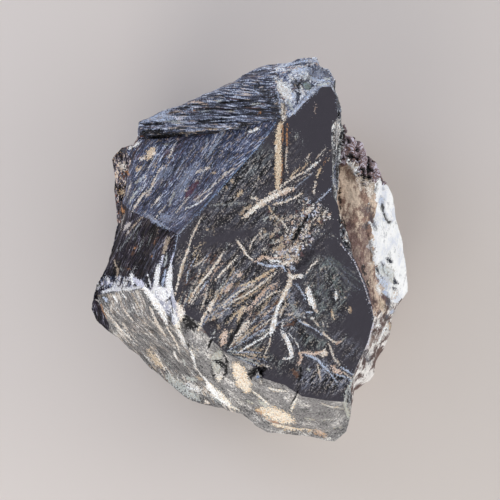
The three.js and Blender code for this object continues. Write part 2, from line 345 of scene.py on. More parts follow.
# Veins that fan out over the left of the polished face.
LEFT_FAN = (
    *marks(CREAM,
        (0.3, 0.5, 0.9, -6.8, 4.9, -7.6, 3.2, -8.4, 1.6, -8.8, 0),
        (0.34, 0.8, 0.75, -5.9, -0.5, -7, -1.6, -8.2, -2.3),
        taper=0.8),
    *marks(CREAM,
        (0.46, 0.5, 1, -8.3, 1.4, -8.8, 0, -9.6, -2, -10.1, -4, -10.6, -6.2),
        (0.5, 0.45, 1, -3.8, -0.1, -4.4, -1.2, -5.4, -2.6, -6.8, -4.3, -7.8, -5.6, -8.6, -7.3),
        (0.45, 0.5, 1, -1.9, -0.8, -2.9, -2, -3.9, -2.9, -4.9, -4.1),
        (0.34, 0.7, 0.8, -6, -4.9, -6.2, -5.9, -6.5, -7, -7, -8.4),
        (0.28, 0.6, 0.9, 1.7, 3, 0.8, 2, 0.2, 1.2, -0.3, 0), (0.15, 0.9, 0.55, 3.3, 2.6, 2.2, 2.2, 1.1, 1.5),
        (0.2, 1.2, 0.6, 4.1, 3.2, 3.2, 2.5), (0.6, 1.2, 0.6, 1.8, 0.4, 2.1, -0.2),
        (0.16, 0.8, 0.5, -3.1, 0.9, -2.5, 0.7), (0.95, 0.7, 1, -5.2, -7, -5.6, -7.8, -6, -8.6),
        (0.55, 0.6, 1, -5.9, -8.3, -6.6, -9.3, -7, -10.3, -7.4, -11.3),
        (0.4, 0.7, 1, 0.5, -4.6, -1, -5.3, -2.6, -6.4, -4.3, -7.9),
        (0.36, 0.6, 1, 3.9, -2.7, 2.2, -4.1, 0.6, -5.3, -0.9, -6.3, -2.4, -7, -3.9, -7.9),
        (0.26, 0.5, 1, 4.3, -5.6, 3.1, -5.9, 1.9, -6.8, 0.6, -8), (0.22, 0.9, 0.7, 2.4, -8.4, 1.4, -9.6),
        (0.7, 1, 0.9, -0.2, -9.6, -1.3, -11, -2.3, -12.3),
        (0.4, 0.9, 0.85, 0.6, -9.6, -0.5, -10.8, -1.6, -12, -3, -13.6),
    ),
    *marks(TAN,
        (0.24, 0.6, 0.8, -8.8, -0.2, -9.4, -2, -9.8, -3.5, -10.3, -5), (0.24, 0.7, 0.7, -6.5, 1.1, -7.9, 0.3),
        (0.28, 0.6, 0.85, -2.3, -2.4, -3.2, -4, -3.9, -5.6, -4.6, -7.4),
        (0.24, 0.8, 0.6, -5.5, -5.3, -5.8, -6.6), (0.3, 0.9, 0.5, -7.6, -6, -7.2, -5),
        (0.9, 1.6, 0.6, 3.2, 0, 4.4, 0.6, 4.3, 1.8), (0.5, 0.6, 0.7, -6.2, 3, -5.9, 2.9),
        (0.2, 1, 0.5, -5.2, 3.4, -5.1, 2.2),
        (0.5, 0.7, 1, 3.4, -2.5, 1.9, -3.4, 0.6, -4.2, -0.8, -4.8, -1.9, -5),
        (0.3, 0.9, 0.7, 1.8, -4.9, 0.4, -5.9, -1.2, -7, -2.4, -7.8), (0.2, 0.8, 0.8, 2.1, -7.7, 1, -8.8),
        (0.8, 1, 0.9, -0.6, -7.6, -1.5, -8.6, -1.7, -10.1),
        (0.36, 0.9, 0.8, -1.2, -8.1, -2.4, -9.1, -3.4, -10.3), (0.5, 0.8, 0.8, -2.6, -11.1, -3, -11.4),
        (0.4, 0.9, 0.5, -4.4, -10.3, -4.6, -11),
        (0.24, 0.8, 0.8, 1, -10.3, 0, -11.3, -1.2, -12.3, -2.4, -13.2),
        (0.22, 0.6, 0.8, 0, -14.6, 1.1, -14.6),
    ),
    *marks(ORANGE, (0.2, 0.5, 0.8, -4, -6.3, -4.7, -7.5)),
    *marks(PINK,
        (0.55, 0.7, 0.9, -1.2, -3.1, -1.8, -3.7), (0.75, 0.9, 0.85, -2.6, -4.6, -3.3, -5.5, -3.6, -6),
        (0.58, 0.8, 1, 3, -4.9, 1.8, -5.8, 0.8, -7, -0.3, -8.1, -1.2, -8.9),
        (1.25, 0.6, 1, -3.5, -11.2, -3.8, -12.3, -3.9, -13.2),
    ),
    *marks(CREAM, (0.46, 0.5, 1, -2, 1.7, -1.2, 0.4, -0.5, -0.6, 0.4, -1.4), taper=0.7),
    *marks(FROST,
        (0.16, 0.9, 0.4, -7.2, 1.8, -6.2, 2.2, -5.3, 2.8), (0.3, 1, 0.4, -5.9, 6.3, -4, 6.5, -2.2, 6.3),
        (0.22, 0.9, 0.4, -3.4, 0.2, -3.2, 1.2), (0.35, 0.8, 0.7, -4.9, -11.3, -5.5, -11.7),
        (0.3, 0.6, 0.8, -3.2, -14.1, -1.8, -14.1),
    ),
    *marks(ICE,
        (0.25, 0.6, 0.85, -4.8, -8.3, -5.7, -9.2, -6.6, -10.1),
        (0.22, 0.7, 0.8, 2.4, -10.4, 0.8, -11.6, -1.5, -13, -3.2, -14),
        (0.2, 0.7, 0.7, -1.6, -14.5, 0.2, -14.6, 1.7, -14.9),
    ),
    *marks(WHITE,
        (0.46, 0.4, 1, 2.7, -11.3, 1.9, -12.1, 0.6, -12.8, -0.7, -13.6, -1.8, -14.4),
        (0.18, 0.3, 1, -5, -12.1, -6, -12.3),
    ),
)

# Veins that meet in the middle of the polished face and run down and right from there.
ROSETTE = (
    *marks(PINK,
        (0.6, 0.7, 1, 0.5, -1.6, 1.7, -0.9, 2.9, -1.1, 4.3, -0.9), (0.3, 0.8, 0.8, 5.2, -2.6, 5.6, -3.3),
        (0.5, 0.8, 0.85, 12.1, -13, 12.8, -12.8),
        (0.6, 0.5, 1, 6.8, -14.4, 7.6, -14.3, 9, -14.5, 10.4, -14.2),
        (0.6, 0.6, 1, 7, -14.5, 7.1, -15.3, 6.7, -16.1), (0.8, 1, 0.9, 11.3, -16.2, 12, -16.9, 12.8, -17.2),
    ),
    *marks(ICE,
        (0.42, 0.5, 1, 0.8, -1.6, 2.2, -2.1, 3.6, -2.2, 4.4, -2, 5, -2.9),
        (0.3, 0.8, 0.6, 4.6, -0.5, 5.3, 0.2), (0.26, 0.4, 1, 6, -4.5, 6.8, -5.1, 7.4, -6.2, 7.8, -7.3),
        (0.34, 0.6, 0.9, 7.8, -8.6, 8.9, -8.7),
        (0.3, 0.5, 1, 6.5, -9.6, 7.3, -10.2, 8.2, -10.6, 9.1, -11.1, 10.2, -11.8),
        (0.32, 0.5, 1, 12.7, -16.4, 13.6, -16.9, 14.5, -17.5),
        (0.46, 0.4, 1, 7.6, -14.6, 8.6, -14.9, 9.5, -15.4, 10.3, -16.3, 11.1, -17.1),
        (0.26, 0.6, 0.9, 10.9, -16.9, 11.7, -17.9, 12.3, -18.8),
        (0.3, 0.6, 0.9, 12, -17.4, 13.2, -17.7, 13.9, -18.1, 14.5, -18.7),
        (0.13, 0.5, 0.5, 13.6, -14.8, 14.6, -14.3, 15.4, -14.5),
        (0.3, 1.2, 0.35, 5.5, -5.2, 5.2, -6.6, 6, -8.4),
    ),
    *marks(WHITE,
        (0.7, 0.9, 0.9, 2.5, -1.4, 4.2, -1.5), (0.95, 0.3, 1, 6.9, -3.5, 7.3, -3.6),
        (1, 0.3, 1, 3.5, -9, 3.3, -10, 3, -11, 2.8, -11.8),
        (0.34, 0.7, 0.85, 4.6, -9.8, 4.3, -11, 4.4, -11.9),
        (1.05, 0.7, 1, 8.1, -5.1, 8.2, -6.3, 8.7, -7.5, 9, -8.1), (0.34, 0.8, 0.7, 7.4, -8.9, 7.6, -9.5),
        (0.5, 0.9, 0.8, 8.4, -9.6, 8.9, -9.5), (0.56, 0.6, 1, 12, -5.6, 12, -6.9),
        (0.42, 0.3, 1, 5.9, -15, 4.6, -15.2),
        (0.28, 0.5, 0.9, 5.3, -11.6, 6.1, -12.4, 6.7, -13.3, 6.9, -14.3),
    ),
    *marks(CREAM,
        (0.75, 0.8, 0.9, 4.2, -1.9, 5.4, -1.7, 6, -1), (0.75, 0.5, 1, 5.2, -3.3, 5.9, -3.7, 6.9, -3.5),
        (0.34, 0.9, 0.8, 4.9, -7.3, 4.4, -8.3, 4.1, -9.3), (0.4, 0.7, 0.9, 7.8, -3.2, 8.5, -2.2, 9.6, -1.2),
        (0.4, 0.9, 0.8, 8.9, -8.2, 9.6, -8.7), (0.3, 0.6, 1, 8.5, -9.4, 9, -9.9, 9.8, -11),
        (0.2, 0.6, 0.8, 9.3, -10.1, 10, -11.2), (0.26, 0.7, 0.7, 10.1, -9.9, 10.3, -10.7),
        (0.24, 0.7, 0.7, 10.6, -10.1, 10.9, -10.7), (0.45, 0.7, 0.8, 7.1, -10, 8.3, -10.5),
        (0.34, 0.5, 1, 9.8, -11.2, 10.9, -12.2, 11.6, -12.8, 12.3, -13),
        (0.4, 0.8, 0.8, 10.9, -12.9, 11.3, -13.8, 11.5, -14.6, 11.9, -15.3, 12.7, -16.2),
        (1.35, 0.4, 1, 10, -14.4, 10.6, -14.5), (0.3, 0.8, 0.8, 9.4, -16, 9.6, -17, 9.8, -17.9),
        (0.2, 0.8, 0.8, 13, -17, 14.4, -18.2), (0.42, 0.8, 0.8, 1.6, -16, 2.9, -16.4),
    ),
    *marks(CREAM, (0.8, 0.35, 1, 5.6, -3.6, 5.4, -4.8, 4.9, -5.8, 4.2, -7), taper=0.4),
    *marks(WHITE, (0.62, 0.45, 1, 4.4, -6.8, 3.8, -8, 3.5, -9.2), taper=0.1),
    *marks(CREAM, (0.28, 0.5, 1, 2.9, -11.8, 2.6, -13.2, 2.2, -14, 1.8, -15), taper=0.8),
    *marks(TAN, (0.48, 0.8, 0.8, 11.4, -8.4, 11.7, -9.6), (0.6, 0.9, 0.65, 13.9, -8, 13.9, -8.6)),
    *marks(FROST,
        (0.18, 0.8, 0.5, 12.8, -12.7, 13.6, -12), (0.42, 0.9, 0.7, 7.9, -16.5, 8.3, -16.9),
        (0.1, 0.6, 0.3, 12.6, -13.1, 16.2, -13.6), (1, 1.6, 0.35, 5.6, -7.4, 6.4, -8.6, 6.9, -9.6),
    ),
    *marks(WHITE, (0.78, 0.25, 1, 4.5, -11.5, 5.1, -12.5, 5.5, -13.5, 5.8, -14.9), taper=0.25),
    *marks(RUST, (0.95, 1.1, 0.8, 6.1, -16.7, 6.6, -17.7)),
    *marks(ORANGE, (0.4, 1, 0.8, 6.4, -17, 6.3, -17.4)),
)

# Pale highlight lines painted along the rims and borders of the faces, where an edge catches the light.
EDGE_HIGHLIGHTS = (
    *marks(STEEL, (0.2, 0.5, 0.7, 3.5, 18.1, 0.9, 14.4, -2, 11.2, -6.3, 6.4, -8.5, 4), taper=0.2),
    *marks(ICE,
        (0.2, 0.6, 0.75, -8.5, 4, -10.2, 2.2, -10.9, -1), (0.16, 0.9, 0.75, 6.2, 19.3, 7.6, 21, 9.5, 22.5),
    ),
    *marks(LILAC,
        (0.19, 0.6, 0.9, 12.7, 0.9, 13.6, -0.2, 14.5, -1.3, 15.1, -2.6, 15.6, -3.9, 16.3, -5.8, 16.9, -7.6,
            17.35, -9.2, 17.5, -10.2),
        taper=0.3),
)

# Pale shoulder and the white bands that run from it over the grey cheek.
CHEEK_BANDS = (
    *marks(FROST,
        (1.8, 1.2, 0.6, -12.2, -18.6, -10, -20.4, -7.6, -21.8), (0.3, 0.8, 0.7, -9.9, -15.5, -9.5, -16.7),
        (0.9, 1.2, 0.7, -9.6, -18.7, -8, -18.9), (0.3, 1, 0.7, -5.6, -21.4, -4.3, -22.4),
    ),
    *marks(WHITE,
        (1.3, 1.3, 0.7, -9.4, -19.6, -7.4, -20.6),
        (1.25, 0.4, 1, -15.3, -5.2, -14.2, -6.5, -13.3, -7.8, -12.5, -9, -12, -10.4),
        (1.9, 0.7, 0.9, -13.7, -4.9, -12.7, -5.8, -12, -7.2),
        (1, 0.9, 0.85, -11.4, -7.8, -10.6, -9.6, -10.3, -11, -9.8, -12.5, -9.3, -13.7),
        (0.7, 0.8, 0.9, -8.6, -13.9, -8.2, -15.2, -7.9, -16.4), (0.4, 0.9, 0.8, -3.2, -22.2, -1.6, -23.1),
        (0.34, 0.6, 0.9, -11.2, -14.6, -10.6, -16.1),
        (0.24, 0.7, 0.8, -20.2, -10.6, -19.2, -11.5, -17.9, -12.3), (0.5, 0.6, 0.95, -20, -6.5, -19.3, -7.4),
        (0.4, 0.7, 0.85, -18.6, -6.2, -17.9, -7),
    ),
    *marks(CREAM,
        (0.3, 0.6, 1, -12, -10.8, -11.3, -12, -10.6, -13.4, -10.2, -14.9),
        (0.55, 0.9, 0.75, -14.3, -8, -13.6, -9.8, -12.9, -11.2, -12.2, -12.2),
        (1.35, 0.5, 1, -10.2, -7.5, -9.8, -8.6, -9.8, -9.8), (0.6, 0.8, 0.9, -6.9, -22, -6.1, -22.3),
        (0.38, 0.7, 0.9, -20.4, -9.8, -19.4, -11, -18.4, -12.2, -17.4, -13),
        (0.28, 0.7, 0.85, -18.4, -8.2, -17.6, -9.5, -17, -10.1), (0.4, 1.1, 0.7, -18.6, -10.6, -17.8, -11.9),
        (0.4, 1.1, 0.85, -13.9, -15, -13.2, -16.5, -12.6, -17.6), (0.4, 1.1, 0.7, -14.8, -15, -14.2, -16),
    ),
    *marks(WHITE,
        (0.5, 0.6, 1, -8.2, -16.6, -7.4, -17.6, -6.6, -18.7, -5.9, -19.8),
        (1.7, 0.4, 1, -6.5, -18.9, -5.7, -20.1, -4.5, -21.2, -2.8, -22.6),
        taper=0.8),
    *marks(TAN,
        (0.5, 1.2, 0.5, -7.8, -18.3, -7, -18.8), (0.18, 0.5, 0.8, -17, -6.1, -16.4, -7.3, -15.9, -8.4),
        (1.1, 1.5, 0.6, -15, -14.6, -14.1, -15.8, -13, -17.1),
    ),
    *marks(ICE, (0.6, 0.8, 0.7, -21.6, -6.8, -20.9, -7.4)),
    *marks(ORANGE, (0.4, 0.8, 0.6, -21.9, -7.8, -21.5, -9, -21, -10)),
)

# White flames that climb from the pale shoulder, and a pale highlight painted along the rim at the flank's
# foot.
SHOULDER_FLAMES = (
    *marks(WHITE,
        (0.95, 0.4, 1, -13, -2, -13.3, -3.6, -13.6, -5.6),
        (1.15, 0.4, 1, -11.3, -1.8, -11.5, -4, -11.6, -6.5),
        taper=0.6),
    *marks(LILAC,
        (0.45, 0.5, 1, -12.4, -0.6, -12.7, -1.7, -13.2, -3.4),
        (0.45, 0.5, 1, -11, -0.4, -11.2, -1.6, -11.3, -3), (1.3, 0.8, 0.8, -17, -4, -15.4, -5.1),
    ),
    *marks(FROST, (0.3, 0.7, 0.8, -11.9, -0.6, -12.3, -2.3)),
    *marks(ICE, (0.5, 0.9, 0.8, -12.1, -2.6, -12.4, -4.2, -12.6, -5.6)),
    *marks(WHITE,
        (0.34, 0.8, 0.85, -14.7, -3.4, -14.3, -5.2), (0.75, 0.6, 0.9, -17.2, -3.2, -17, -4.9),
        (0.3, 0.7, 0.85, -18, -4.1, -18.2, -5.5),
        # the pale rim at the flank's foot, a painted highlight along its edge
        (0.7, 0.9, 0.8, -21.7, -6, -19.7, -5.6, -17.6, -5.5, -15, -4.9),
        (0.6, 0.9, 0.8, -20.9, -5.6, -19.2, -5.4), (0.3, 0.7, 0.8, -19.9, -4.3, -19.9, -5.4),
    ),
)

# Streaks and flecks along the fibres of the dark flank.
FLANK_STREAKS = (
    *marks(FROST,
        (0.24, 0.7, 0.38, -19.3, 0, -17.6, 1.7, -16.4, 3.2, -15.6, 4.3),
        (0.15, 0.7, 0.41, -16.3, -0.3, -15.8, 0.9, -15.3, 2), (0.13, 0.7, 0.38, -14.9, 0.8, -14.2, 2.4),
        (0.14, 0.7, 0.34, -17, 1.4, -16.2, 2.8), (0.4, 1.1, 0.38, -18.9, -2.4, -18.6, -2.9),
    ),
    *marks(CREAM,
        (0.64, 0.9, 0.64, -18.4, 3.1, -17.4, 3.9), (0.45, 0.8, 0.64, -17.8, 2.6, -17.5, 2.8),
        (0.22, 1.1, 0.45, -19, 3, -18.8, 4.4, -18.3, 5.6),
    ),
    *marks(TAN,
        (0.2, 0.8, 0.6, -18, 2.2, -17, 3.3, -16, 4.3, -15.3, 5), (0.09, 0.7, 0.38, -13.6, 1.9, -13.2, 3.3),
        (0.68, 1.5, 0.45, -12.3, -0.4, -12, 0.8, -11.5, 1.8),
        (0.32, 1.1, 0.49, -19.9, -1.4, -19.5, -2.6, -19.5, -4.6), (0.33, 0.8, 0.6, -21.5, -4.2, -21.7, -5.2),
    ),
    *marks(ORANGE,
        (0.44, 0.7, 0.6, -16.7, 0.2, -16.5, 0.5), (0.22, 0.8, 0.52, -13.8, 1, -13.7, 1.5),
        (0.24, 0.8, 0.52, -17.6, -2.7, -17.7, -2.4), (0.2, 0.8, 0.45, -14.1, -0.9, -13.9, -0.6),
    ),
    *marks(RUST, (0.4, 1.2, 0.52, -17.1, -0.6, -16.3, 0.7)),
    *marks(WHITE, (0.2, 0.6, 0.6, -16.9, -2.8, -16.6, -2.2)),
)

# Pale, rusty and dark flecks of the blue slope, and wide faint pale-blue patches painted as sheen.
SLOPE_STREAKS = (
    *marks(ICE,
        (0.55, 1.1, 0.45, -6.3, 13.2, -5.2, 14.9, -4, 16.8), (0.4, 1.3, 0.35, -6.5, 13.8, -6.2, 16),
        (0.6, 1.3, 0.4, -15.2, 5.4, -13.5, 4.1, -11.6, 3), (1.6, 1.5, 0.3, -13, 5, -11, 4.4),
        (1.8, 1.5, 0.22, -10.4, 7.6, -9.2, 10.6, -8, 11.6), (1.8, 1.5, 0.2, -13.4, 10.4, -11.4, 11.6),
    ),
    *marks(CREAM,
        (0.3, 0.9, 0.8, -11.8, 13.4, -10.8, 15.3),
        (0.42, 1, 0.8, -14.9, 7.8, -13.9, 9.8, -13.3, 11.2, -12.6, 12.4),
        (0.42, 0.9, 0.85, -17, 5.7, -15.8, 7.5, -14.9, 8.6), (0.38, 0.9, 0.8, -14.2, 6.2, -12.9, 8),
        (0.34, 0.8, 0.85, -13.8, 4.2, -12.8, 5.5, -12.1, 6.4), (1.1, 0.9, 0.85, -19, 12.6, -18.4, 12),
        (0.24, 1, 0.7, -17.9, 7.6, -17.2, 10), (0.22, 0.9, 0.7, -10.6, 5.3, -9.2, 7.2),
        (0.27, 0.8, 0.75, -8.2, 7, -6, 8.6, -4.4, 9.9, -3, 11, -2, 11.7),
        (0.55, 0.9, 0.8, -9.9, 8.9, -9, 8.5), (0.5, 1.2, 0.8, -7.7, 11.1, -5.8, 11.8),
        (0.3, 0.9, 0.8, -4.4, 10.4, -2.4, 11.5), (0.7, 0.7, 1, -14.2, 13.9, -13.7, 14.2),
        (0.6, 0.9, 0.85, -16, 13, -15.4, 13.5),
    ),
    *marks(FROST,
        (0.42, 1, 0.75, -17.5, 6.8, -16.4, 8.5, -15.5, 9.4), (0.5, 1.3, 0.55, -16.6, 9.7, -15.2, 10.6),
        (0.4, 1.2, 0.65, -11.6, 6.4, -10.8, 8.5), (0.5, 0.8, 0.85, -12.3, 15.3, -11.9, 15.2),
    ),
    *marks(SLATE, (1, 0.7, 0.6, -19, 14.4, -18, 14.8)),
    *marks(ORANGE,
        (0.4, 0.8, 0.8, -18.1, 11.6, -17.6, 10.9), (0.5, 1, 0.7, -18.9, 6.2, -18.5, 5.4),
        (0.4, 1.2, 0.7, -15, 13.6, -14.6, 14.3),
    ),
    *marks(TAN,
        (0.8, 1.1, 0.8, -18.9, 8.7, -18.4, 8.1), (0.34, 1, 0.7, -5.5, 11.1, -5, 10.9),
        (0.2, 0.9, 0.5, -2.6, 15.4, -0.6, 16.2), (0.2, 0.9, 0.6, 0.6, 15.4, 2.4, 16),
        (1.25, 0.8, 0.95, -15, 13.2, -14.5, 14, -14.1, 14.7), (0.6, 1.1, 0.8, -16.4, 11.6, -15.8, 12),
        (0.2, 0.9, 0.7, -15, 16, -12, 16.5, -9, 16.8, -6, 17.3, -2, 17.5),
    ),
    *marks(WHITE,
        (0.32, 0.8, 0.85, -9.3, 5.9, -7.6, 6.6, -6.2, 7.7, -5.4, 8.4),
        (0.75, 0.5, 0.95, -17.8, 14.9, -17, 15.3, -16, 15.5),
    ),
    *marks(WINE, (1.2, 1, 0.6, -9.2, 7.7, -8.4, 8.7, -7.5, 9.7)),
    *marks(PINK, (0.42, 0.8, 0.85, -10.6, 16.1, -10.3, 16), (0.36, 0.8, 0.85, -12.1, 16.1, -11.9, 16.1)),
)

# Beds of the fibrous ledge, with pale-blue and lilac streaks painted as sheen on its fibres.
LEDGE_STREAKS = (
    *marks(ICE,
        (0.7, 1, 0.85, -15, 19.4, -13.4, 18.9, -11.8, 19.2), (0.4, 1.1, 0.6, -10.2, 18.6, -9, 18.6),
        (1.3, 1.1, 0.6, -16.3, 18.7, -14, 19.6, -11.4, 20.8),
        (1, 1.3, 0.5, -14.6, 19, -12.8, 19.3, -11, 19.1), (0.5, 1.3, 0.5, 0.4, 23, 1, 22.4, 1.7, 22.6),
        (0.3, 1, 0.6, -5.6, 22.9, -4.6, 22.9), (0.22, 1, 0.5, -1, 17.2, -4, 17.3, -8, 17.1),
    ),
    *marks(LILAC,
        (0.5, 1.1, 0.75, -12.4, 19.5, -10.8, 19.1, -9.6, 19.1),
        (1.1, 1.2, 0.5, -15.9, 20, -13.4, 21.1, -11, 22.2),
    ),
    *marks(WHITE, (0.3, 0.9, 0.8, -14.6, 19.8, -12.6, 19.7), (0.5, 0.5, 1, -0.6, 16.8, 0.3, 16.9, 1.1, 17.3)),
    *marks(PINK,
        (0.24, 0.8, 0.7, -12, 19.9, -10.6, 20.1, -9.4, 19.8),
        (0.36, 0.7, 0.85, -9, 21.4, -8, 21.5, -6.8, 21.3), (0.32, 0.7, 0.85, -7.3, 21.1, -6.3, 21.1),
    ),
    *marks(FROST,
        (0.6, 1.4, 0.45, -12.3, 18.8, -9.6, 18.5), (0.28, 0.8, 0.8, 0, 20.8, 1.3, 20.9),
        (0.3, 0.9, 0.75, -5, 21.4, -4.1, 21.6), (0.26, 1, 0.7, -3.6, 19.9, -2.4, 19.9),
        (0.24, 1, 0.7, -7.2, 20, -5.7, 20.1),
    ),
    *marks(ORANGE, (0.24, 0.9, 0.8, -8.3, 20.1, -7.9, 20.2), (0.36, 1, 0.8, 1.2, 19.6, 1.5, 19.7)),
    *marks(CREAM, (0.18, 0.7, 0.8, -3.4, 17.5, -1.2, 17.7)),
)

# Patches of the pale crest. Its white and pale-blue rims and patches are in part painted highlights along its
# edges, and its black and navy marks are painted shade in its openings.
CREST_PATCHES = (
    *marks(WHITE,
        (2.1, 0.7, 0.9, 4, 23.9, 4.9, 22.7, 5.6, 21.7), (0.35, 0.9, 0.85, 5.4, 24.9, 6.1, 24.4),
        (0.45, 0.7, 0.9, 3.4, 24.5, 3.7, 24.4), (0.36, 0.5, 0.95, 7.1, 23.7, 7.3, 22.9, 7.5, 22.1),
        (0.26, 0.8, 0.8, 10.5, 24.7, 11, 24.5), (0.34, 1, 0.8, 9.2, 24.4, 9.5, 24.3),
    ),
    *marks(HAZE, (1.5, 0.8, 0.75, 8, 25.8, 9.8, 25.5, 11, 25)),
    *marks(ICE,
        (0.5, 0.9, 0.85, 6.9, 25.3, 9.2, 24.6, 11.3, 24.1), (0.2, 0.8, 0.85, 6, 25.2, 7.4, 25.8, 9, 26.4),
        (0.85, 0.9, 0.85, 5.4, 22.9, 5.9, 21.9, 6.1, 21.2), (0.3, 0.7, 0.8, 3.7, 22.6, 3.9, 21, 4.3, 19.7),
        (0.3, 0.6, 0.8, 11.3, 23.8, 12, 22.7, 12.4, 21.4, 12.5, 19.8), (0.5, 0.6, 0.9, 8.1, 22.1, 8.6, 22.9),
        (0.7, 1, 0.65, 5.8, 25.6, 7.4, 25.9, 9.8, 26),
    ),
    *marks(FROST,
        (0.5, 0.8, 0.95, 9.6, 23.7, 11.3, 23.9), (0.6, 1, 0.8, 5.3, 21.4, 5.7, 20.4, 5.9, 19.7),
        (0.6, 1, 0.7, 10.4, 24.9, 11.4, 24.4), (0.9, 1.4, 0.35, 7.2, 25, 8.8, 24.7),
    ),
    *marks(NAVY, (0.5, 1, 0.9, 6.4, 22.6, 6.7, 21.9, 6.6, 21.1)),
    *marks(INK, (0.4, 0.7, 0.9, 7.6, 24.6, 7.2, 23.9, 7.6, 23.2), (0.3, 0.7, 0.9, 6.7, 23.6, 6.9, 22.9)),
    *marks(PINK, (0.18, 1, 0.8, 4.4, 25.3, 6.4, 26.1, 8.6, 26.6), (0.4, 0.6, 0.8, 9.2, 26.7, 9.6, 26.6)),
    *marks(CREAM, (1, 0.7, 0.95, 4.6, 20.8, 4.6, 19.6, 4.6, 18.3)),
    *marks(ORANGE, (0.3, 0.9, 0.7, 4.5, 21.6, 4.8, 21.5), (0.16, 0.8, 0.7, 5, 26.2, 6.3, 26.3)),
    *marks(TAN, (0.26, 0.9, 0.8, 5.6, 20.7, 5.9, 20.5), (0.3, 0.9, 0.8, 6.3, 23.7, 6.5, 23.2)),
    *marks(ICE,
        (0.42, 0.6, 0.9, 6.1, 19.3, 7.2, 20.9, 8, 21.8, 8.7, 22.7, 9.6, 23.4, 11.2, 23.7),
        (0.45, 0.5, 0.85, 4, 26.3, 6, 26.8, 8, 27.2, 9.7, 27.1),
        taper=0.2),
    *marks(MOSS, (1.25, 0.15, 1, 7.9, 23.7, 8.2, 23.2), taper=0.2),
)

# Patches of the bevel under the polished face.
BEVEL_PATCHES = (
    *marks(ORANGE,
        (0.5, 1.4, 0.6, 0.9, -23.2, 1.7, -23.7), (0.45, 1.5, 0.55, 2.6, -24.4, 4.2, -24.9),
        (0.6, 1.5, 0.6, -1.5, -19.2, -0.7, -19.9),
    ),
    *marks(FROST,
        (1.9, 0.4, 0.5, -4.4, -14.3, -4.9, -15.4, -4.8, -17), (0.42, 0.9, 0.8, -0.6, -21.6, 0.4, -21.9),
        (0.75, 1.1, 0.8, 1.1, -21.4, 1.9, -22.1, 2.3, -22.6), (0.22, 0.8, 0.6, 10.8, -25.7, 13.5, -25.4),
        (0.4, 1.2, 0.5, 7.7, -24.1, 9, -24.3), (0.3, 1.2, 0.4, 9.8, -24.2, 11.6, -24.1),
        (0.4, 0.8, 0.6, -2, -14.8, 0, -15.4, 1.4, -16.1),
    ),
    *marks(INK, (0.34, 1.2, 0.7, -5.6, -16, -5.4, -17.6, -5.2, -18.8)),
    *marks(CREAM, (2.5, 0.4, 1, -2, -16.4, -1.4, -18, -0.6, -19.6), taper=0.4),
    *marks(TAN,
        (0.75, 1.3, 0.85, -0.8, -17.4, -0.5, -18.6, -0.4, -19.6), (0.8, 1.2, 0.85, 0.8, -22.9, 2.1, -23.5),
        (0.6, 1.3, 0.6, 3, -22.7, 4, -23), (0.4, 1.2, 0.8, 4, -25.5, 5.6, -25.7),
    ),
    *marks(WHITE,
        (0.46, 0.7, 0.9, 0.2, -20, 1.4, -21, 2.6, -22), (0.42, 0.7, 0.8, 2.6, -19.3, 3.6, -19.7, 5, -19.8),
        (0.85, 0.7, 0.85, -4.7, -17.9, -4.4, -18.7), (0.56, 0.8, 0.85, 6.6, -20.2, 6.1, -21.6, 5.7, -23),
        (0.3, 0.6, 0.8, 10, -21.5, 11, -22, 12.3, -22.3, 13.4, -22.7),
        (0.3, 0.8, 0.6, 1.3, -18.2, 1.6, -18.8),
    ),
    *marks(CREAM, (2.3, 0.7, 1, 1.8, -22.9, 3.4, -23.5, 5.6, -24.4), taper=0.3),
    *marks(CREAM,
        (0.75, 0.8, 1, 3, -24.9, 4.9, -25.5, 6.6, -26), (0.42, 0.9, 0.85, 6.7, -25.8, 8.2, -26, 9, -26.2),
    ),
    *marks(PINK, (0.8, 0.8, 0.8, 9, -26.2, 10.1, -26.4, 11, -26.8)),
    # a painted blue glint inside the dark hole under the bevel's rim
    *marks(SKY, (0.5, 0.5, 1, 0.9, -17.8, 1.1, -17.6)),
)

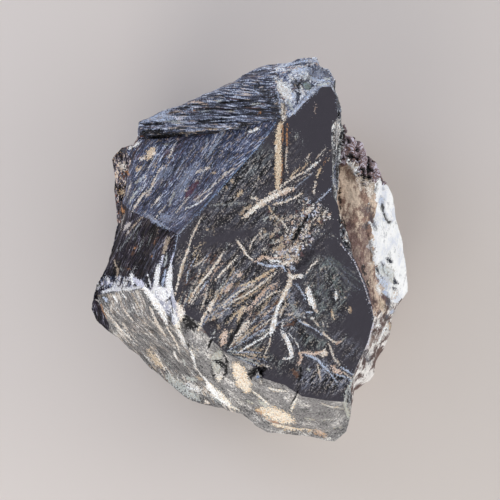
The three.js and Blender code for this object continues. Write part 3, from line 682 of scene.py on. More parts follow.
# Patches that break up the matrix.
MATRIX_PATCHES = (
    *marks(WHITE,
        (0.8, 0.6, 1, 14, 12.8, 14.7, 11.9, 15.2, 10.9), (0.6, 0.8, 0.85, 15, -0.3, 15.8, -1),
        (0.55, 0.8, 0.8, 13.3, 1.8, 13.9, 1.2), (0.9, 0.8, 0.9, 18.5, -10.2, 18.6, -11.2),
        (1.2, 0.5, 1, 21.5, -6, 20.9, -6.9), (0.95, 0.8, 0.9, 18.5, -5, 18.9, -6.4),
        (0.7, 0.8, 0.9, 18.4, -10.1, 18.9, -11.2), (0.85, 0.7, 0.95, 20.3, -10.8, 19.5, -12.2, 18.7, -13.8),
        (0.5, 0.7, 0.85, 17.7, -13.4, 18.1, -13.9),
    ),
    *marks(CREAM,
        (0.6, 0.9, 0.7, 15.1, 10.9, 15.9, 9.6, 16, 8.6), (1.5, 0.7, 0.85, 16.4, 10.2, 17.2, 9.4, 17.5, 7.9),
        (0.65, 0.8, 0.85, 15.7, 10.7, 16.3, 9.9), (0.5, 0.9, 0.6, 16.4, -1.7, 18, -1.9),
        (0.65, 0.7, 0.9, 12.6, 5, 13, 4.6),
    ),
    *marks(RUST,
        (1.3, 1, 0.4, 13.4, 12.9, 13.9, 11.3, 14.9, 10.2), (1, 1, 0.8, 17.9, -12.6, 17.4, -14.1),
        (0.8, 0.8, 0.8, 18.5, -12.9, 18.9, -13.4), (0.9, 1.2, 0.6, 16.4, -2.4, 16.8, -3.4),
    ),
    *marks(UMBER,
        (2.6, 1, 0.6, 13.6, 4.8, 14.6, 1.8, 15.9, -1.6, 17.2, -5),
        (1.8, 1.1, 0.55, 16, 3.4, 16.9, 0.6, 17.3, -1.6), (1.4, 1.2, 0.7, 16.2, 6.6, 16.9, 5.2),
        (1.1, 1.1, 0.85, 19.4, -6.5, 19.7, -7.5), (1.5, 1.2, 0.7, 16.9, -5.4, 17.8, -8),
    ),
    *marks(NAVY,
        (0.7, 1, 0.6, 17.3, 6.8, 17.6, 4.8, 18.4, 3), (0.3, 1, 0.6, 18.5, 9.8, 18, 8.6),
        (0.55, 0.7, 1, 20.1, -1.2, 20.8, -1.7), (0.5, 0.8, 0.85, 20.9, -3.9, 21.2, -4.4),
        (0.42, 0.8, 0.85, 20.8, -5.3, 21, -5.7), (0.75, 0.8, 1, 21, -4.5, 21.5, -4.8),
    ),
    *marks(SLATE,
        (1, 1.3, 0.65, 16.5, 6.4, 17.2, 5.6), (0.9, 1.3, 0.6, 16.1, 3.3, 17.1, 3.9),
        (0.6, 0.9, 0.9, 18.3, -2.5, 18.7, -3.1), (0.42, 1.1, 0.9, 19.1, -1.7, 19.5, -2.5, 19.6, -3.2),
        (0.7, 1, 0.8, 19.8, -9.5, 20.1, -10.2), (0.9, 1.2, 0.7, 19.9, -7, 20.3, -8.2),
        (1.2, 1.5, 0.6, 16.6, -14.6, 17.3, -16.2),
    ),
    *marks(ICE,
        (0.8, 0.9, 0.8, 19.1, 7.8, 19.5, 7), (0.4, 0.9, 0.7, 19.4, 9.1, 19.6, 9.1),
        (0.5, 0.9, 0.8, 19.3, 4.7, 19.7, 4.4), (1.2, 1.5, 0.7, 18.7, -3.8, 20.2, -5.4),
        (0.8, 1, 0.8, 19.3, -6, 20, -6.6), (0.6, 0.9, 0.8, 20.3, -9.2, 20.9, -8.7),
    ),
    *marks(INK,
        (0.62, 0.4, 0.9, 19.25, 7, 19.35, 5.7), (0.5, 0.4, 0.9, 19.4, 5.7, 19.8, 4.7, 20.3, 4.1, 20.7, 4.3),
        (0.5, 0.7, 0.7, 21.2, -5.4, 21.3, -5.7), (0.6, 0.9, 0.6, 19.5, -9.9, 20.4, -10.2),
    ),
    *marks(SKY,
        (0.5, 0.7, 0.3, 18.9, 7.6, 19, 6.6), (0.5, 1.2, 0.45, 19.2, -4.6, 20.3, -4.9),
        (0.6, 1.2, 0.35, 19.4, -5.8, 19.9, -6.4),
    ),
    *marks(FROST, (1.7, 1.4, 0.6, 18.8, -2.5, 20.2, -3.2, 20.8, -4.4)),
    *marks(TAN,
        (1, 1.2, 0.7, 19, -7.7, 19.5, -9.1), (1.1, 1.1, 0.7, 19.2, -7, 19.5, -8.8),
        (0.3, 0.8, 0.8, 20.6, -10.6, 20.4, -11.6),
    ),
)

# Patches of the right wall, and pale highlight lines painted along the edges that run down from it.
WALL_PATCHES = (
    *marks(WHITE,
        (0.24, 1.4, 0.9, 12.3, 13, 12, 11.4, 12, 9.6, 12.2, 8.2),
        (1, 1.4, 0.85, 12.6, 18.5, 12.3, 17, 12.5, 15), (0.5, 0.7, 0.9, 11.9, 18, 12.2, 17.7),
    ),
    *marks(INK, (0.4, 1.5, 0.9, 12.9, 14.6, 13.1, 16.4, 13.2, 18.6)),
    *marks(HAZE,
        (0.45, 1, 0.8, 12.6, 13.5, 12.1, 11.6, 12.2, 9.6, 12.4, 8.4),
        (0.4, 1, 0.7, 12.8, 20.8, 13.2, 19.4, 13.3, 17.6),
    ),
    *marks(ICE, (0.5, 0.8, 0.8, 11.7, 10.2, 11.9, 9.4)),
    # pale highlight lines painted along the edges below the wall
    *marks(LILAC,
        (0.5, 0.5, 0.9, 17.7, -10.5, 17.3, -12, 16.8, -13.5, 16, -15, 15.4, -16.6, 14.9, -17.4),
        taper=0.2),
    *marks(FROST,
        (0.7, 0.8, 0.85, 14.9, -17.4, 14.3, -18.6, 13.6, -19.8, 13.4, -21.4, 13.9, -23, 14.3, -24.4),
        taper=0.2),
)

# What the finest streaks of the polished face are made of.
EARTHS = (CREAM, TAN, TAN, RUST, ICE, FROST, PINK, HAZE)

# Fine streaks in bulk, each spray along the fibres of its own face.
SPRAYS = (
    # the end of the flank, with pale flecks painted as highlight along its lower edge, and the cheek under it
    Spray((-19.5, -38.0), (85, 98), (32.2, 34.0), 90, (WHITE, LILAC, NAVY, HAZE, WHITE),
          lengths=(0.4, 1.7), widths=(0.16, 0.42), strengths=(0.5, 1.0), seed=10),
    Spray((-34.0, 6.0), (-50, -32), (17.0, 33.0), 80, (FROST, UMBER, WHITE, RUST, INK, CREAM),
          lengths=(0.4, 2.4), widths=(0.1, 0.2), strengths=(0.25, 0.7), seed=11),
    # the fans of the polished face
    Spray((-3.4, -14.1), (24, 60), (1.0, 11.0), 60, EARTHS),
    Spray((-7.2, -11.2), (36, 66), (0.6, 9.0), 45, EARTHS, seed=2),
    Spray((-3.6, -14.2), (-26, 8), (0.6, 5.0), 22, (ICE, HAZE, INK, TAN), seed=3),
    Spray((-11.5, -12.0), (52, 74), (3.0, 12.0), 26, EARTHS, seed=4),
    # the blue slope, whose fibres all come from far off
    Spray((-26.0, -18.0), (52, 71), (27.0, 38.0), 70, (ICE, HAZE, CREAM, TAN, INK),
          widths=(0.1, 0.2), strengths=(0.3, 0.75), seed=5),
    # the dark flank
    Spray((-28.0, -24.0), (44, 60), (22.0, 29.0), 30, (HAZE, INK, HAZE, RUST),
          widths=(0.1, 0.2), strengths=(0.3, 0.7), seed=6),
    # the broken middle of the rosette
    Spray((-1.6, -11.9), (53, 65), (11.5, 21.5), 250,
          (WHITE, CREAM, CREAM, TAN, PINK, LILAC, UMBER, ICE),
          lengths=(0.15, 0.7), widths=(0.16, 0.36), strengths=(0.7, 1.0), seed=7),
    Spray((-3.0, -9.0), (57, 70), (11.0, 16.0), 40, (CREAM, TAN, INK, UMBER, FROST),
          lengths=(0.3, 1.0), widths=(0.16, 0.45), strengths=(0.4, 0.8), seed=8),
    # fine fibres of the clouded right side
    Spray((9.5, 0.2), (-92, -32), (0.8, 7.0), 60, (MOSS, FROST, MOSS, HAZE),
          widths=(0.12, 0.26), strengths=(0.15, 0.5), seed=12),
    Spray((5.6, -9.6), (-75, 20), (0.8, 5.0), 30, (MOSS, FROST, HAZE, INK),
          lengths=(0.6, 2.6), widths=(0.12, 0.26), strengths=(0.15, 0.5), seed=13),
    # scratches and grit of the clouded right side
    Spray((3.6, -10.0), (5, 62), (5.0, 11.0), 40, (FROST, HAZE, NAVY, CREAM),
          lengths=(0.4, 2.2), widths=(0.1, 0.2), strengths=(0.25, 0.65), seed=9),
)

# Everything that lies on the stone in a colour of its own.
VEINS = (
    *(streak for spray in SPRAYS for streak in spray.strokes()),
    *UPRIGHT_VEINS,
    *LEFT_FAN,
    *ROSETTE,
    *EDGE_HIGHLIGHTS,
    *CHEEK_BANDS,
    *SHOULDER_FLAMES,
    *FLANK_STREAKS,
    *SLOPE_STREAKS,
    *LEDGE_STREAKS,
    *CREST_PATCHES,
    *BEVEL_PATCHES,
    *MATRIX_PATCHES,
    *WALL_PATCHES,
)

# Dark openings, painted black as the shade inside them, which also sink into the skin.
CRACKS = (
    *cracks(
        # hollows of the matrix beside the polished face
        (0.8, 0.7, 0.85, 0.15, 16.1, -2.2, 16.6, -3.4), (0.6, 0.6, 0.9, 0.15, 17, -4.3, 17.2, -5),
        (0.5, 1, 0.5, 0.1, 17.7, -6.6, 17.9, -7.6), (0.4, 1, 0.6, 0.1, 15.4, -0.8, 15.8, -1.6),
        # dark spots of the white matrix
        (0.42, 0.9, 0.6, 0.05, 18.4, -2.5, 18.6, -3), (0.34, 0.9, 0.6, 0.05, 19.3, -2.2, 19.6, -3.1),
        (0.36, 0.9, 0.5, 0.05, 19, -3.5, 19.3, -4), (0.3, 0.9, 0.5, 0.05, 20.1, -3.2, 20.2, -3.9),
        (0.3, 0.9, 0.45, 0.05, 18.4, -3.8, 18.7, -4.3), (0.4, 1, 0.45, 0.1, 18.1, -11.6, 17.8, -12.2),
        # on the polished face
        (0.9, 0.8, 0.6, 0, 9.2, -6, 9.6, -6.7), (0.7, 0.8, 0.6, 0, 11.1, -5.8, 11.3, -6.5),
        (0.2, 0.4, 0.85, 0.1, 4.7, 17.6, 4.7, 13, 4.6, 8.8),
        (0.55, 0.9, 1, 0.25, 7.8, 4.6, 7.1, 3.4, 6.4, 2.3, 5.8, 1.1),
        (0.26, 1.2, 0.7, 0.1, 0.6, -1.6, -0.6, -3, -2.2, -4.9, -3.8, -6.6, -4.9, -7.8),
        (0.5, 0.6, 0.95, 0.25, -1, -9, -1.9, -11, -2.7, -12.2, -3.3, -13.6),
        (0.3, 0.4, 1, 0.2, -3.6, -12.4, -3.6, -12.6), (0.2, 0.5, 1, 0.1, 2, -1.3, 2.6, -1.5),
        (0.4, 0.5, 1, 0.2, 4.4, -7.3, 4.7, -7.6),
        (0.34, 0.8, 0.95, 0.25, 7, -16.3, 7.1, -17.4, 6.7, -18.6, 6.5, -19.8),
        (0.9, 1.2, 0.5, 0.05, 8.7, -0.2, 7.5, -1, 6.6, -2.4),
        # under the bevel's rim
        (0.3, 0.6, 1, 0.3, 6.6, -19.7, 6.3, -20.6, 5.7, -21.8),
        (1, 0.6, 1, 0.7, -0.1, -17.9, 0.3, -17.1, 1.3, -16.6),
        (0.8, 0.6, 1, 0.7, 1.5, -17.7, 1.6, -16.9, 1.9, -16.3),
        (0.6, 0.9, 1, 0.3, -5, -15.6, -4.1, -16.1, -3.5, -16.5),
        (0.22, 0.4, 0.8, 0.3, -4.7, -15.7, -4, -15.4),
        (0.34, 0.9, 1, 0.3, -4.1, -14, -3.4, -15.6, -3.5, -17.2, -3.9, -18.3),
        (0.24, 0.4, 1, 0.3, -5.4, -17.9, -5, -17.6),
        (0.7, 1.3, 0.35, 0.1, -2.3, -21, -1.2, -21.8, -0.4, -22.3),
        # over the cheek
        (1.5, 0.4, 1, 0.5, -9.1, -9.3, -8.8, -10.4, -7.7, -10.6),
        (0.75, 1.2, 0.7, 0.25, -9.6, -10.4, -9.4, -11.8), (0.5, 0.7, 0.9, 0.3, -9, -13.2, -8.9, -13.5),
        (0.22, 0.5, 1, 0.2, -12.2, -7.3, -11.4, -6.6, -11.2, -7.8, -11.1, -9),
        (0.75, 1.1, 0.7, 0.25, -11.5, -8.8, -11.5, -10.2),
        (0.3, 0.9, 0.5, 0.1, -12.8, -10.4, -12.2, -11.6, -11.4, -13.2),
        (0.3, 0.8, 0.45, 0.05, -12.7, -3.4, -12.8, -5),
        # dark beds and openings of the ledge
        (0.75, 0.5, 1, 0.45, -15.9, 16.9, -14.5, 17.2, -12.6, 17.2),
        (0.4, 0.6, 1, 0.35, -16.2, 16.2, -13, 16.4, -11, 16.6, -9.2, 16.9),
        (0.42, 0.7, 0.9, 0.3, -15.7, 18.2, -14.2, 18.4, -12.7, 18.3),
        (0.28, 0.8, 0.8, 0.25, -12.8, 17.3, -10.8, 17.5, -9.2, 17.7),
        (0.4, 1, 0.6, 0.1, -13.4, 15.6, -11.8, 15.4, -9.8, 15.7),
        (0.3, 0.3, 1, 0.2, -10.6, 20.7, -9.6, 20.6, -8.4, 20.6),
        (0.3, 0.3, 1, 0.25, -8.2, 20.4, -6.6, 20.3, -4.6, 20.3, -2.6, 20.2),
        (0.26, 0.3, 1, 0.2, -1.2, 20.6, 0.2, 20.6, 1.2, 20.8),
        (0.24, 0.3, 0.9, 0.2, -9.4, 21.1, -8, 21.1, -6.4, 21.2),
        (0.34, 0.3, 1, 0.25, -4.6, 21.2, -2.8, 21.3, -1, 21.4, 1, 21.4),
        (0.3, 0.3, 1, 0.25, -7.8, 18.6, -6, 18.7, -4.4, 18.8, -2.8, 18.8),
        (0.26, 0.3, 1, 0.25, -8, 18.3, -5.6, 18.35, -3.4, 18.4, -1.6, 18.35),
        (0.24, 0.4, 0.85, 0.2, -10, 17.5, -7.4, 17.6, -5, 17.7),
        (0.22, 0.4, 0.8, 0.15, -4.6, 17.4, -2.4, 17.6, -0.4, 17.7),
        (0.22, 0.4, 0.8, 0.15, -10.8, 19.4, -8.6, 19.6, -6.6, 19.6),
        (0.2, 0.5, 0.7, 0.15, -5.6, 19.4, -3.6, 19.3, -1.4, 19.4, 0.6, 19.3),
        (0.22, 0.5, 0.75, 0.15, -1.8, 20.1, 0.4, 20.1, 1.8, 20),
        (0.2, 0.5, 0.7, 0.15, -7.4, 21.8, -5.4, 21.8, -3.4, 21.8),
        (0.24, 0.4, 0.85, 0.2, -6.4, 22.3, -5.2, 22.3, -3.8, 22.3),
        (0.2, 0.5, 0.7, 0.15, -4.4, 22.9, -2.2, 22.9, 0.2, 22.8),
        (0.22, 0.5, 0.8, 0.2, -3.6, 23.6, -1.6, 23.6, 0.2, 23.4),
        (0.2, 0.5, 0.7, 0.15, -2.2, 24.3, -0.8, 24.3), (0.24, 0.8, 0.8, 0.25, -11.8, 19.9, -10.2, 20),
        (1.5, 0.9, 0.75, 0.25, 0.8, 23.6, 2.2, 22.3, 3, 21, 3.7, 19.5, 4.1, 18.5),
        # openings of the crest
        (0.42, 0.9, 0.75, 0.3, 6.3, 24.7, 6.8, 23.4, 7, 22),
        (0.26, 0.6, 0.85, 0.25, 7, 24.5, 8.3, 24.2, 8.9, 23.6, 8.3, 22.9),
        (0.28, 0.9, 0.7, 0.2, 5.8, 24.5, 6.2, 23.2), (0.16, 0.6, 0.7, 0.2, 4.8, 26.6, 6.8, 26.6, 8.9, 26.8),
        (0.22, 0.9, 0.7, 0.1, 4.6, 21.2, 4.9, 20.4, 4.7, 19.8),
        # gaps between the stone and its matrix
        (0.26, 1.6, 0.85, 0.2, 12.75, 12.8, 12.7, 10.4, 12.75, 8, 12.95, 6),
        (0.26, 1.6, 0.8, 0.1, 13.2, 4.8, 13.7, 2.6, 14.6, 0.4), (0.6, 0.5, 1, 0.4, 13, 13.3, 13.4, 13.2),
        (0.6, 0.7, 0.9, 0.3, 12.8, 9, 12.7, 8.2),
    ),
    *marks(INK, (0.4, 0.3, 1, -5.2, -12.3, -5.7, -12.8, -6, -13.8), taper=0.8, drop=0.4),
)

# Where the polished face is mottled, and with what.
CLOUDS = (
    *marks(PINK, (2.6, 0.6, 0.8, 4.2, -2.2, 6.2, 1.4, 7.8, 4.4)),
    *marks(HAZE,
        (6, 0.6, 1, -5, -9, 0, -6, 3, -6), (3.2, 0.6, 0.9, 5.6, -6, 5.8, -9.6, 5.6, -13),
        (4.6, 0.6, 1, 7.6, -18.4, 10, -17.4, 13, -18.6), (2.6, 0.6, 0.5, 12.2, -12, 14.6, -14.6),
    ),
    *marks(SLATE, (5.4, 0.6, 1, -3.4, 7.6, -0.6, 10, 2.2, 12), taper=0.3),
    *marks(MOSS,
        (3, 0.6, 0.85, -2.4, 10.6, 0.2, 12.6, 2.4, 13.4), (4, 0.6, 0.6, -3.6, -12.5, 1.6, -14.4, 6, -16.4),
        (4, 0.6, 0.75, 9.4, -2, 11.8, -3.2, 12.4, -6.4, 11.8, -9),
        (3.4, 0.6, 0.6, 8.4, -3.6, 9.6, -7.6, 8.8, -10), (2.6, 0.6, 0.9, 6.6, -11, 8.6, -13, 10.4, -13.4),
    ),
    *marks(SLATE,
        (4.6, 0.6, 0.8, -7.6, 3.4, -3.5, 5.4, 3, 5.4, 6.4, 3),
        (7, 0.6, 0.85, -9.4, -1, -6.6, -3, -1, -2, 3, 1), (6.5, 0.6, 0.9, -7, -7, -2, -7, 3, -5),
        (4.6, 0.6, 0.6, 5.6, 8.4, 8.4, 5, 9.6, 1.4), (3, 0.6, 0.3, 5, 16, 6.4, 12),
    ),
)

# Where it stays smooth and dark.
CALMS = (
    *marks(CREAM,
        (5, 0.6, 1, 8.6, 19, 9.4, 16, 9, 13), (4.6, 0.6, 1, 12.4, 1.6, 14.4, -3, 15.8, -8, 15, -11),
        taper=0.2),
    *marks(CREAM,
        (2.4, 0.6, 1, 12.4, 3.4, 12.6, 0), (1.5, 0.6, 1, 7.2, -9.6, 9, -11, 10.4, -12.2),
        (1.6, 0.6, 1, 3.4, -11.4, 2.8, -13.4, 4.6, -15), (0.8, 0.6, 1, 5.8, -11.4, 6.6, -13),
        (1.6, 0.6, 1, 1.6, -16, 3.4, -17),
    ),
)


SIDES = [[0, 1], [1, 2], [2, 0]]


@dataclass(frozen=True)
class Chart:
    """Turns the frame's metres into plan millimetres and back."""

    middle: Vector
    unit: float

    @classmethod
    def of_box(cls, low: Vector, high: Vector) -> "Chart":
        """Lay the chart on a box, with its origin at the middle of the box's base.

        Args:
            low: the box's lowest corner, in metres.
            high: the box's highest corner, in metres.

        Returns:
            The chart.
        """
        middle = Vector(((low.x + high.x) / 2, (low.y + high.y) / 2, low.z))
        return cls(middle, (high.y - low.y) / PLAN_LENGTH)

    def plan(self, places: np.ndarray) -> np.ndarray:
        """Turn places in metres into plan millimetres."""
        return (places - np.array(self.middle)) / self.unit

    def metres(self, places: np.ndarray) -> np.ndarray:
        """Turn plan millimetres into places in metres."""
        return places * self.unit + np.array(self.middle)


class Skin:
    """A triangle mesh in plan millimetres, with the zone of every triangle."""

    def __init__(self, points: np.ndarray, faces: np.ndarray) -> None:
        """Keep the mesh, with no zones yet.

        Args:
            points: one corner in a row, x, y and z.
            faces: the three corner numbers of each triangle.
        """
        self.points, self.faces = points, faces
        self.zones = np.zeros(len(faces), int)

    @classmethod
    def from_node(cls, node: bpy.types.Object, chart: Chart) -> "Skin":
        """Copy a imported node's mesh, with the corners that share a place made one.

        Args:
            node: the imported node.
            chart: turns the frame's metres into plan millimetres.

        Returns:
            The skin.
        """
        mesh = node.data
        mesh.calc_loop_triangles()
        places = np.empty(len(mesh.vertices) * 3)
        mesh.vertices.foreach_get("co", places)
        corners = np.empty(len(mesh.loop_triangles) * 3, int)
        mesh.loop_triangles.foreach_get("vertices", corners)
        places = chart.plan(places.reshape(-1, 3))
        _, first, shared = np.unique(places.round(3), axis=0, return_index=True, return_inverse=True)
        faces = shared.reshape(-1)[corners.reshape(-1, 3)]
        whole = (faces != np.roll(faces, 1, axis=1)).all(axis=1)
        return cls(places[first], faces[whole])

    def centres(self) -> np.ndarray:
        """Return the middle of every triangle."""
        return self.points[self.faces].mean(axis=1)

    def slants(self) -> np.ndarray:
        """Return every triangle's outward vector, as long as twice its area."""
        a, b, c = (self.points[self.faces[:, i]] for i in range(3))
        return np.cross(b - a, c - a)

    def normals(self) -> np.ndarray:
        """Return the outward normal of every triangle."""
        slants = self.slants()
        return slants / np.linalg.norm(slants, axis=1, keepdims=True)

    def point_normals(self) -> np.ndarray:
        """Return the outward normal of every corner."""
        total, slants = np.zeros_like(self.points), self.slants()
        for i in range(3):
            np.add.at(total, self.faces[:, i], slants)
        return total / np.linalg.norm(total, axis=1, keepdims=True)

    def of(self, *zones: Zone) -> np.ndarray:
        """Tell which triangles lie in some zones."""
        return np.isin(self.zones, [zone.number for zone in zones])

    def refine(self, limit: Callable[[np.ndarray, np.ndarray], np.ndarray]) -> None:
        """Split the longest side of every triangle that is too coarse, until none is left.

        A side is split on both triangles that share it, and a triangle that loses any side also splits
        its longest, which keeps the pieces well shaped.

        Args:
            limit: gives the longest side allowed, from triangle middles and zones.
        """
        while True:
            sides = self.faces[:, SIDES]
            ends = self.points[sides]
            spans = np.linalg.norm(ends[:, :, 0] - ends[:, :, 1], axis=2)
            longest = spans.argmax(axis=1)
            keys = sides.min(axis=2) * len(self.points) + sides.max(axis=2)
            main = keys[np.arange(len(keys)), longest]
            marked, grown = [], np.unique(main[spans.max(axis=1) > limit(self.centres(), self.zones)])
            if not grown.size:
                return
            while len(grown) > len(marked):
                marked = grown
                grown = np.unique(np.append(marked, main[np.isin(keys, marked).any(axis=1)]))
            self._split(marked, keys, longest)

    def _split(self, marked: np.ndarray, keys: np.ndarray, longest: np.ndarray) -> None:
        """Split the marked sides at their middles.

        Args:
            marked: the sorted keys of the sides to split.
            keys: the keys of each triangle's three sides.
            longest: which side of each triangle is its longest.
        """
        count = len(self.points)
        split = np.isin(keys, marked)
        middle = count + np.searchsorted(marked, keys)
        added = (self.points[marked // count] + self.points[marked % count]) / 2
        self.points = np.vstack([self.points, added])
        turn = (longest[:, None] + np.arange(3)) % 3
        a, b, c = np.take_along_axis(self.faces, turn, axis=1).T
        ab, bc, ca = np.take_along_axis(middle, turn, axis=1).T
        on_ab, on_bc, on_ca = np.take_along_axis(split, turn, axis=1).T
        pieces = (
            (~on_ab, (a, b, c)),
            (on_ab & ~on_bc, (ab, b, c)),
            (on_bc, (ab, b, bc)),
            (on_bc, (ab, bc, c)),
            (on_ab & ~on_ca, (a, ab, c)),
            (on_ca, (a, ab, ca)),
            (on_ca, (ca, ab, c)),
        )
        self.faces = np.vstack([np.column_stack(corners)[where] for where, corners in pieces])
        self.zones = np.concatenate([self.zones[where] for where, _ in pieces])


# Where each seen fracture face lies on the plan. A border matters only to half a millimetre, because
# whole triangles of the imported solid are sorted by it.
PLAN_OUTLINES: dict[Zone, Path] = {
    Zone.LEDGE: ((-17.5, 17), (-17.5, 21), (-9, 25), (2, 29), (3.7, 28), (3.7, 25.7), (4.2, 21.1),
        (3.8, 18.3), (-4.5, 16.9), (-10, 16.8)),
    Zone.SLOPE: ((-16.2, 16.3), (-17.3, 14.9), (-17.8, 10.4), (-18.4, 6.8), (-16.8, 5.5), (-13.9, 4.3),
        (-10.1, 2.2), (-6.3, 6.3), (-1.8, 11.3), (3.8, 18.3), (-4.5, 16.5), (-10, 16.2)),
    Zone.LEFT: ((-16.2, 16.3), (-17.3, 14.9), (-17.8, 10.4), (-18.4, 6.8), (-19.3, 3.7), (-22, 5), (-22, 18)),
    Zone.FLANK: ((-16.8, 5.5), (-18.4, 6.8), (-19.3, 3.7), (-21.5, -3.5), (-22.8, -6.9), (-18.6, -5.9),
        (-15.2, -5.3), (-10.8, -5.3), (-10.1, 2.2), (-13.9, 4.3)),
    Zone.SHOULDER: ((-15.2, -5.3), (-13, -7.7), (-10.7, -10.7), (-9, -9), (-10.5, -7), (-10.8, -5.3)),
    Zone.END: ((-23.5, -3.5), (-22.1, -6.6), (-21.3, -9.1), (-20.7, -10.9), (-20.8, -12.1), (-24, -11)),
    Zone.CHEEK: ((-22.1, -6.6), (-21.3, -9.1), (-20.7, -10.9), (-21, -13), (-15, -19), (-9, -23), (-5, -24.5),
        (-1.5, -23.6), (-4.2, -21.4), (-6.9, -18.3), (-8.5, -14), (-10.7, -10.7), (-13, -7.7), (-15.2, -5.3),
        (-18.6, -5.9)),
    Zone.BEVEL: ((-10.7, -10.7), (-8.5, -14), (-6.9, -18.3), (-4.2, -21.4), (-1.5, -23.6), (2.6, -27),
        (6.7, -28.5), (13, -29), (15.5, -24), (15, -22), (13.2, -21.4), (7.3, -20.6), (1.7, -18),
        (-3.2, -14.6), (-7.1, -10.2), (-9, -9)),
    Zone.WALL: ((11.3, 22.9), (12.2, 24.4), (13.4, 22), (13.8, 17.2), (13, 14.6), (12.4, 12), (12.3, 8.2),
        (13, 1.6), (15.5, -2.2), (17.8, -9.7), (16.9, -13.2), (14.9, -18.8), (15, -22), (13.2, -21.4),
        (12, -15), (11, 0), (10, 15)),
    Zone.CREST: ((3.7, 29), (10.5, 29), (12.2, 24.4), (11.3, 22.9), (8.7, 21.6), (5.5, 18.5), (3.8, 18.3),
        (4.2, 21.1), (3.7, 25.7)),
    Zone.CRUST: ((12.7, 14.8), (12.8, 12.9), (14.3, 12.5), (15.6, 10.9), (17.9, 10), (19.5, 10.5),
        (20.5, 11.5), (17, 17), (13.4, 18.5)),
    Zone.BROWN: ((12.8, 12.9), (12.4, 12), (12.3, 8.2), (12.8, 6), (13, 1.6), (15.5, -2.2), (17.8, -9.7),
        (19.4, -6.8), (18, -3), (17.4, 2), (18, 7.2), (17.9, 10), (15.6, 10.9), (14.3, 12.5)),
    Zone.WHITE: ((17.9, 10), (18, 7.2), (17.4, 2), (18, -3), (19.4, -6.8), (24.5, -8.5), (24, 0), (22, 8),
        (20, 11.5)),
    Zone.MIXED: ((17.8, -9.7), (16.9, -13.2), (15.1, -17.1), (14.8, -18.8), (15, -21.5), (20, -17), (23, -10),
        (24.5, -8.5), (19.4, -6.8)),
}

POLISH_FALL = 0.1  # how far the polished face falls for each millimetre towards +X
FLATNESS = 0.9999  # how closely a triangle follows the polished face
WALL_FOOT = 16.6  # the height that parts the right wall from the matrix
MATRIX_TOP = 18.8
SEEN_TILT = -0.05  # triangles that face further down than this are hidden
LIP = Stroke(((-16, 17), (-10, 16.8), (-4.5, 16.9), (3.8, 18.3)), 1.6, taper=0.0)  # the riser's top edge
LIP_END = 3.0
RISER_TILT, RISER_FRONT = 0.72, -0.4  # how steep the riser is, and how far it faces -Y

# Matrix lies where this sum of x, y and z passes the border, give or take two sizes of bend.
MATRIX_LEAN = np.array([0.8, 0.1, -0.6])
MATRIX_BORDER = -1.0
MATRIX_BENDS = ((1.5, 3.4), (0.5, 1.3))

MATRIX_ZONES = (Zone.CRUST, Zone.BROWN, Zone.WHITE, Zone.MIXED)
CROOKED_BORDERS = (MATRIX_ZONES, (Zone.LEDGE, Zone.CREST))


def sample(places: np.ndarray, basis: str = "PERLIN_NEW") -> np.ndarray:
    """Read smooth noise at many places.

    Args:
        places: the places, one row each.
        basis: the kind of noise.

    Returns:
        Noise between about -1 and 1.
    """
    return np.array([noise.noise(place, noise_basis=basis) for place in places.tolist()])


def ramp(values: np.ndarray, low: float, high: float) -> np.ndarray:
    """Rise smoothly from 0 to 1 while values go from low to high."""
    share = np.clip((values - low) / (high - low), 0.0, 1.0)
    return share * share * (3.0 - 2.0 * share)


def inside_depth(outline: Path, plan: np.ndarray) -> np.ndarray:
    """Measure how deep points lie inside a closed outline.

    Args:
        outline: the outline's corners in order.
        plan: points on the plan, one row each.

    Returns:
        Millimetres inside the outline, negative outside it.
    """
    corners = np.array(outline)
    nearest, inside = np.full(len(plan), np.inf), np.zeros(len(plan), bool)
    x, y = plan.T
    for start, end in zip(corners, np.roll(corners, -1, axis=0)):
        step = end - start
        nearest = np.minimum(nearest, off_segment(start, step, plan)[1])
        if step[1]:
            crosses = (start[1] > y) != (end[1] > y)
            inside ^= crosses & (x < start[0] + (y - start[1]) * step[0] / step[1])
    return np.where(inside, nearest, -nearest)


def back_lean(places: np.ndarray) -> np.ndarray:
    """Measure how far places on the back lie past the crooked border of its matrix, in millimetres."""
    bend = sum(sway * sample(places / size) for sway, size in MATRIX_BENDS)
    return places @ MATRIX_LEAN - MATRIX_BORDER + bend


def back_zones(places: np.ndarray) -> np.ndarray:
    """Sort places on the back into matrix and plain stone."""
    return np.where(back_lean(places) > 0, Zone.MATRIX_BACK.number, Zone.BACK.number)


def sort_zones(skin: Skin) -> None:
    """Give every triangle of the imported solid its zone.

    Args:
        skin: the skin, before it is refined.
    """
    centres, normals = skin.centres(), skin.normals()
    plan, height = centres[:, :2], centres[:, 2]
    depths = {zone: inside_depth(outline, plan) for zone, outline in PLAN_OUTLINES.items()}
    depths[Zone.WALL][height < WALL_FOOT] = -np.inf
    for zone in MATRIX_ZONES:
        depths[zone][height > MATRIX_TOP] = -np.inf
    seen = np.array([zone.number for zone in depths])[np.argmax(list(depths.values()), axis=0)]
    skin.zones = np.where((normals[:, 2] > SEEN_TILT) | (height > WALL_FOOT), seen, back_zones(centres))
    steep = (normals[:, 2] < RISER_TILT) & (normals[:, 1] < RISER_FRONT) & (plan[:, 0] < LIP_END)
    skin.zones[(LIP.depth(plan) > 0) & steep] = Zone.RISER.number
    polish = np.array([POLISH_FALL, 0.0, 1.0]) / math.hypot(POLISH_FALL, 1.0)
    skin.zones[normals @ polish > FLATNESS] = Zone.POLISH.number


